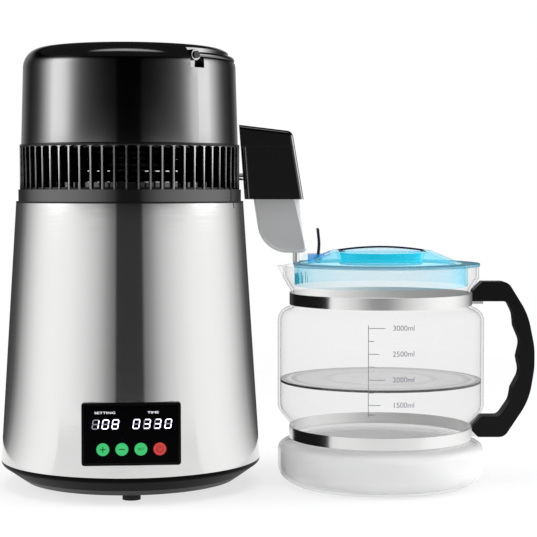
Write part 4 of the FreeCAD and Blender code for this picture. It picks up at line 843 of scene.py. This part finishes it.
def segmentOutlines(look, lit, x):
    # the seven bars of a digit, top first and clockwise, the middle one last
    tall = look["digitHeight"] / 2
    wide = look["digitWidth"]
    gap = look["barGap"]
    half = look["barWidth"] / 2
    flat = [(gap, 0), (half + gap, half), (wide - half - gap, half), (wide - gap, 0),
            (wide - half - gap, -half), (half + gap, -half)]
    tallBar = [(0, gap), (half, half + gap), (half, tall - half - gap), (0, tall - gap),
               (-half, tall - half - gap), (-half, half + gap)]
    starts = [(flat, 0, tall), (tallBar, wide, 0), (tallBar, wide, -tall), (flat, 0, -tall),
              (tallBar, 0, -tall), (tallBar, 0, 0), (flat, 0, 0)]
    outlines = []
    for index, (outline, dx, dy) in enumerate(starts):
        if index in lit:
            moved = [(px + dx, py + dy) for px, py in outline]
            outlines.append(
                [(x + px + look["slant"] * (py + tall), look["digitZ"] + py) for px, py in moved]
            )
    return outlines


barsOf = {"0": (0, 1, 2, 3, 4, 5), "1": (1, 2), "3": (0, 1, 2, 3, 6), "8": (0, 1, 2, 3, 4, 5, 6)}


def addDigits(look):
    lit = []
    ghost = []
    for word, start, pitch in look["readings"]:
        for index, digit in enumerate(word):
            x = start + pitch * index
            lit += segmentOutlines(look, barsOf[digit], x)
            unlit = [number for number in range(7) if number not in barsOf[digit]]
            ghost += segmentOutlines(look, unlit, x)
    place = onPanel(look["glass"] - look["film"])
    for name, outlines, glow in (("digits", lit, "digitGlow"), ("unlitBars", ghost, "ghostGlow")):
        mesh = plateMesh(name, outlines, look["film"], place)
        addPiece(name, mesh, glow, "base", "smoked_window")


def addLegends(look):
    place = onPanel(look["glass"] - look["film"])
    size = look["labelSize"]
    legends = []
    for words, x in look["labels"]:
        centre = (x, look["labelZ"])
        legends.append(
            textMesh(words, words, size, centre, look["film"], place, look["labelStretch"])
        )
    addPiece("legends", joined("legends", legends), "labelGlow", "base", "smoked_window")


def arcBar(radius, width, start, end, centre, steps=24):
    # a bent bar as quads between two arcs, in degrees
    quads = []
    for step in range(steps):
        first, second = (
            math.radians(start + (end - start) * (step + extra) / steps) for extra in (0, 1)
        )
        outer = radius + width
        corners = []
        for reach, angle in ((radius, first), (outer, first), (outer, second), (radius, second)):
            x = centre[0] + reach * math.cos(angle)
            corners.append((x, centre[1] + reach * math.sin(angle)))
        quads.append(corners)
    return quads


def bar(centre, wide, tall):
    x, y = centre
    return [(x - wide / 2, y - tall / 2), (x + wide / 2, y - tall / 2),
            (x + wide / 2, y + tall / 2), (x - wide / 2, y + tall / 2)]


def addButtonMarks(look):
    place = onPanel(look["glass"] - look["buttonRise"] - look["film"])
    size = look["iconSize"]
    stroke = look["markStroke"]
    length = size * look["markLength"]
    for index, body in enumerate(look["buttons"]):
        x = (index - (len(look["buttons"]) - 1) / 2) * look["pitch"]
        centre = (x, look["buttonZ"])
        outlines = []
        if body in ("plus", "minus"):
            outlines.append(bar(centre, length, stroke))
        if body == "plus":
            above = (x, look["buttonZ"] + (length + stroke) / 4)
            below = (x, look["buttonZ"] - (length + stroke) / 4)
            stub = (length - stroke) / 2
            outlines += [bar(above, stroke, stub), bar(below, stroke, stub)]
        if body == "power":
            thin = look["arcStroke"]
            outlines += arcBar(size - look["arcInset"], thin, *look["arcTurn"], centre)
            stem = (x, look["buttonZ"] + size * look["stemMiddle"])
            outlines.append(bar(stem, thin, size * look["stemLength"]))
        mesh = plateMesh(f"{body}Mark", outlines, look["film"], place)
        if body == "set":
            mesh = textMesh("setMark", "SET", look["setSize"], centre, look["film"], place)
        ink = "redInk" if body == "power" else "greenInk"
        addPiece(f"{body}Mark", mesh, ink, body, slotOfNode[f"button_{body}"])


addDigits(panel)
addLegends(panel)
addButtonMarks(panel)
print("panel lit")

# The jug's scale and its water.
jugShape = {
    "wall": 2.2,
    "belly": 89.1,         # outer radii
    "neck": 77.8,
    "floorRise": 1.6,      # the floor is raised in the middle
    "floorStep": 0.7,
    "floorFlat": 61.0,     # radii where the raised part ends
    "floorSlope": 66.0,
    "heel": 15.0,          # inner rounding above the floor
    # heights and inner roundings of the waist's four corners, from the lowest up
    "waist": ((34.0, 5.0), (38.0, 4.0), (51.2, 4.0), (65.2, 10.0)),
    "inset": 0.9,          # how far the inner corners sit within those heights
}
jugScale = {
    "lineX": -15.9,
    "lineLow": 68.7,
    "lineHigh": 143.8,
    "stroke": 0.55,
    # height of each tick and where it ends
    "ticks": ((141.3, -2.4), (130.7, -11.2), (120.2, -7.1), (109.8, -11.2), (99.1, -2.1),
              (88.5, -11.2), (78.4, -6.0), (70.5, -11.2)),
    "words": (("3000ml", 141.3), ("2500ml", 120.2), ("2000ml", 99.1), ("1500ml", 78.4)),
    "wordX": 13.0,
    "wordSize": 6.2,
    "film": 0.08,
    "lift": 0.02,
    "radius": jugShape["belly"],
}


def onJug(look):
    # wraps a flat spot round the front of the glass
    def place(spot):
        angle = spot.x / (look["radius"] * mm)
        reach = (look["radius"] + look["lift"]) * mm + spot.z
        return Vector((jugX + reach * math.sin(angle), -reach * math.cos(angle), spot.y))

    return place


def addJugScale(look):
    half = look["stroke"] / 2
    line = look["lineX"]
    tall = look["lineHigh"] - look["lineLow"]
    outlines = [bar((line, look["lineLow"] + tall / 2), look["stroke"], tall)]
    for height, end in look["ticks"]:
        start = line + half
        outlines.append(bar(((start + end) / 2, height), end - start, look["stroke"]))
    place = onJug(look)
    meshes = [plateMesh("scaleLines", outlines, look["film"], place)]
    for words, height in look["words"]:
        centre = (look["wordX"], height)
        meshes.append(textMesh(words, words, look["wordSize"], centre, look["film"], place))
    addPiece("jugScale", joined("jugScale", meshes), "ink", "jug", "clear_glass")


def addWater(look, shape):
    wall = shape["wall"] + look["gap"]
    neck = shape["neck"] - wall
    belly = shape["belly"] - wall
    floor = shape["floorRise"] + wall
    low = floor - shape["floorStep"]
    corners = [(0, floor), (shape["floorFlat"], floor), (shape["floorSlope"], low)]
    corners.append((belly, low, shape["heel"]))
    inset = shape["inset"]
    for (height, rounding), radius, shift in zip(
        shape["waist"], (belly, neck, neck, belly), (inset, inset, -inset, -inset)
    ):
        corners.append((radius, height + shift, rounding))
    top = look["level"]
    corners += [(belly, top - look["climb"]), (belly, top), (0, top)]
    mesh = latheMesh("water", roundedPath(corners, False, 8), jugX, closed=False)
    addPiece("water", mesh, "water", "jug", "clear_glass")


addJugScale(jugScale)
addWater(waterLook, jugShape)
print("jug filled")

# Set, lamps and camera, in metres.
studio = {
    "floorShade": (0.9, 0.9, 0.9),
    "floorHalf": 8.0,
    "floorGlow": 0.7,      # how much of the floor shows plain white beside the object
    "floorFar": 1.2,       # where it is all white
    "floorNear": 0.2,      # share of that distance where it begins to turn so
    "ambient": 0.62,       # light from all round, where it isn't looked at
    "wallRadius": 1.6,
    "wallHeight": 1.3,
    "wallFaces": 128,
    "footRadius": 0.3,     # beside and behind the still the wall's foot runs in over the floor
    "footFrom": -0.5,      # sine of the turn where that starts
    "lift": 0.001,         # of the cards above the floor
    "wallTurn": 3.4,       # degrees from the front to the dark middle
    "wallPeak": 3.86,      # the brightest shade, since a ramp ends at 1
    "wallSkew": 0.033,     # the shades sit a little wider on one side than on the other
    # degrees from the dark middle, and how bright the lower and the upper part are there
    "lowShades": ((0, 0.046), (11.9, 0.046), (12.8, 0.22), (16, 0.28), (20, 0.386), (25, 0.57),
                  (30, 0.73), (36, 0.86), (42, 0.98), (50, 1.1), (58, 1.2), (66, 1.225),
                  (76, 1.26), (86, 1.23), (92, 1.18), (98, 1.1), (104, 0.973), (110, 0.82),
                  (116, 0.64), (122, 0.488), (129, 0.262), (138, 0.11), (150, 0.07), (180, 0.05)),
    "highShades": ((0, 0.0016), (12.4, 0.0016), (13.2, 0.0246), (18, 0.0254), (22, 0.0336),
                   (26, 0.0465), (30, 0.0669), (34, 0.0957), (38, 0.1319), (42, 0.1818),
                   (46, 0.2637), (50, 0.36), (54, 0.5635), (58, 0.947), (62, 1.5037),
                   (66, 2.2855), (70, 3.0623), (75, 3.5754), (83, 3.8575), (88, 3.779),
                   (93, 2.6213), (98, 1.8067), (103, 1.0489), (109, 0.4506), (115, 0.1962),
                   (122, 0.1077), (131, 0.0536), (141, 0.1548), (151, 0.3614), (180, 0.5)),
    "wallChange": (0.269, 0.281),    # heights between which the first becomes the second
    "wallBow": 0.15,                 # and how much higher that is in front than behind
    "wallFade": (0.62, 0.84),        # shares of the height between which it darkens
    "wallTop": 0.03,
    "ceilingPeak": 1.58,
    "ceilingDark": 0.035,
    "ceilingBox": (0.6, 0.17),       # half the soft box's width and depth
    "ceilingMiddle": -0.42,
    "ceilingFalloff": ((0, 1), (0.35, 0.8), (1, 0)),
    "flagReach": (-0.078, -0.004),
    "flagX": 0.0115,
    "flagHeight": 0.187,
    "flagShade": (0.01, 0.01, 0.01),
    # name, turn and height in degrees, the box's width and height, and its power
    "lamps": (
        ("leftBox", -88, 8, 0.5, 1.1, 11),
        ("rightBox", 88, 8, 0.5, 1.1, 11),
        ("topBox", 0, 80, 1.0, 1.0, 9),
    ),
    "lampTarget": (0, 0, 0.18),
    "lampDistance": 1.25,
}
plainWhite = (1, 1, 1)


def studioWorld(look):
    world = bpy.data.worlds.new("studio")
    bpy.context.scene.world = world
    world.use_nodes = True
    tree = world.node_tree
    tree.nodes.clear()
    seen = seenRay(tree)
    strength = seen * (1 - look["ambient"]) + look["ambient"]
    values = {"Color": opaque(plainWhite), "Strength": strength}
    glow = addNode(tree, "ShaderNodeBackground", {}, values)
    addNode(tree, "ShaderNodeOutputWorld", {}, {"Surface": glow})


def seenRay(tree):
    # 1 where the eye looks, straight or by way of metal or glass
    path = tree.nodes.new("ShaderNodeLightPath")
    straight, mirrored, through = (
        Link(tree, path.outputs[f"Is {name} Ray"]) for name in ("Camera", "Glossy", "Transmission")
    )
    return straight.maths("MAXIMUM", straight.maths("MAXIMUM", straight, mirrored), through)


def studioFloor(look):
    finish = Finish("floor")
    settings = {"operation": "LENGTH"}
    distance = finish.add("ShaderNodeVectorMath", settings, {0: finish.place}, "Value")
    stops = ((look["floorNear"], look["floorGlow"]), (1, 1))
    seen = seenRay(finish.tree) * finish.curve(distance * (1 / look["floorFar"]), stops)
    matte = finish.add("ShaderNodeBsdfDiffuse", {}, {"Color": opaque(look["floorShade"])})
    mixed = finish.add("ShaderNodeMixShader", {}, {0: seen, 1: matte, 2: finish.glow(plainWhite)})
    half = look["floorHalf"]
    corners = [(-half, -half, 0), (half, -half, 0), (half, half, 0), (-half, half, 0)]
    addStage("floor", corners, [(0, 1, 2, 3)], finish.close(mixed))


def addStage(name, corners, faces, material):
    mesh = bpy.data.meshes.new(name)
    mesh.from_pydata(corners, [], faces)
    mesh.materials.append(material)
    card = bpy.data.objects.new(name, mesh)
    bpy.context.scene.collection.objects.link(card)
    return card


def forReflectionsOnly(card):
    for ray in ("camera", "diffuse", "transmission", "volume_scatter", "shadow"):
        setattr(card, f"visible_{ray}", False)


def addWall(look):
    # a round wall, dark in front and bright at the sides, with other shades higher up
    finish = Finish("wall")
    across = finish.axis("X") - stillX
    angle = across.maths("ARCTAN2", across, 0 - finish.axis("Y")) - math.radians(look["wallTurn"])
    turned = abs(angle) - angle * look["wallSkew"]
    peak = look["wallPeak"]
    shades = []
    for name in ("lowShades", "highShades"):
        stops = [(degrees / 180, shade / peak) for degrees, shade in look[name]]
        shades.append(finish.curve(turned * (1 / math.pi), stops))
    height = finish.axis("Z")
    low, high = look["wallChange"]
    bow = angle.maths("COSINE", angle * 0.5, 0.0) * look["wallBow"]
    above = finish.add("ShaderNodeMapRange", {}, {0: height - bow, 1: low, 2: high})
    shade = finish.between(above, *shades)
    low, high = look["wallFade"]
    share = height * (1 / look["wallHeight"])
    level = finish.curve(share, ((low, 1), (high, look["wallTop"])))
    glow = finish.glow(shade, level * peak)
    wide = look["wallRadius"]
    lift = look["lift"]
    profile = ((look["footRadius"], lift), (wide, lift), (wide, look["wallHeight"]))
    count = look["wallFaces"]
    corners = []
    faces = []
    for step in range(count):
        turn = math.tau * step / count
        for radius, z in profile:
            corners.append((stillX + radius * math.cos(turn), radius * math.sin(turn), z))
        first = len(profile) * step
        second = len(profile) * ((step + 1) % count)
        faces.append((first + 1, first + 2, second + 2, second + 1))
        if math.sin(turn) > look["footFrom"]:
            faces.append((first, first + 1, second + 1, second))
    forReflectionsOnly(addStage("wall", corners, faces, finish.close(glow)))


def addCeiling(look):
    # dark, with one soft box above the still and in front of it
    finish = Finish("ceiling")
    wide, deep = look["ceilingBox"]
    across = (finish.axis("X") - stillX) * (1 / wide)
    back = (finish.axis("Y") - look["ceilingMiddle"]) * (1 / deep)
    shade = finish.curve(across * across + back * back, look["ceilingFalloff"])
    glow = finish.glow(plainWhite, shade * look["ceilingPeak"] + look["ceilingDark"])
    half = look["wallRadius"]
    left, right = stillX - half, stillX + half
    z = look["wallHeight"]
    corners = [(left, -half, z), (left, half, z), (right, half, z), (right, -half, z)]
    forReflectionsOnly(addStage("ceiling", corners, [(0, 1, 2, 3)], finish.close(glow)))


def addFlag(look):
    # a black flag between still and jug, that only the jug's side shows
    finish = Finish("flag")
    behind = finish.add("ShaderNodeNewGeometry", {}, {}, "Backfacing")
    dark = finish.glow(look["flagShade"])
    clear = finish.add("ShaderNodeBsdfTransparent", {}, {})
    mixed = finish.add("ShaderNodeMixShader", {}, {0: behind, 1: dark, 2: clear})
    near, far = look["flagReach"]
    x = look["flagX"]
    low, high = look["lift"], look["flagHeight"]
    corners = [(x, near, low), (x, far, low), (x, far, high), (x, near, high)]
    forReflectionsOnly(addStage("flag", corners, [(0, 1, 2, 3)], finish.close(mixed)))


def addLamp(look, name, azimuth, elevation, width, height, power):
    lamp = bpy.data.lights.new(name, "AREA")
    lamp.shape = "RECTANGLE"
    lamp.size = width
    lamp.size_y = height
    lamp.energy = power
    holder = bpy.data.objects.new(name, lamp)
    bpy.context.scene.collection.objects.link(holder)
    around = math.radians(azimuth)
    above = math.radians(elevation)
    flat = math.cos(above)
    way = Vector((math.sin(around) * flat, -math.cos(around) * flat, math.sin(above)))
    holder.location = Vector(look["lampTarget"]) + way * look["lampDistance"]
    holder.rotation_euler = way.to_track_quat("Z", "Y").to_euler()
    holder.visible_glossy = False


camera = {
    "place": (0.0008, -1.384, 0.2537),
    "downTilt": 2.81,
    "lens": 107.26,
    "sensor": 36.0,
}


def addCamera(look):
    data = bpy.data.cameras.new("camera")
    data.lens = look["lens"]
    data.sensor_width = look["sensor"]
    holder = bpy.data.objects.new("camera", data)
    bpy.context.scene.collection.objects.link(holder)
    holder.location = look["place"]
    holder.rotation_euler = (math.radians(90 - look["downTilt"]), 0, 0)
    bpy.context.scene.camera = holder


# The still stands alone in its own steel: it mirrors neither the jug nor the spout.
spoutNodes = ("spout_housing", "spout_cap", "nozzle", "charcoal_filter", "drip_tube")
spoutPieces = [nodes[node] for node in spoutNodes]
for piece in bpy.context.scene.objects:
    if piece.get("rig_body") in ("jug", "lid", "flap") or piece in spoutPieces:
        piece.visible_glossy = False

studioWorld(studio)
studioFloor(studio)
addWall(studio)
addCeiling(studio)
addFlag(studio)
for lamp in studio["lamps"]:
    addLamp(studio, *lamp)
addCamera(camera)
bpy.context.scene.view_settings.view_transform = "Standard"
print("studio lit")
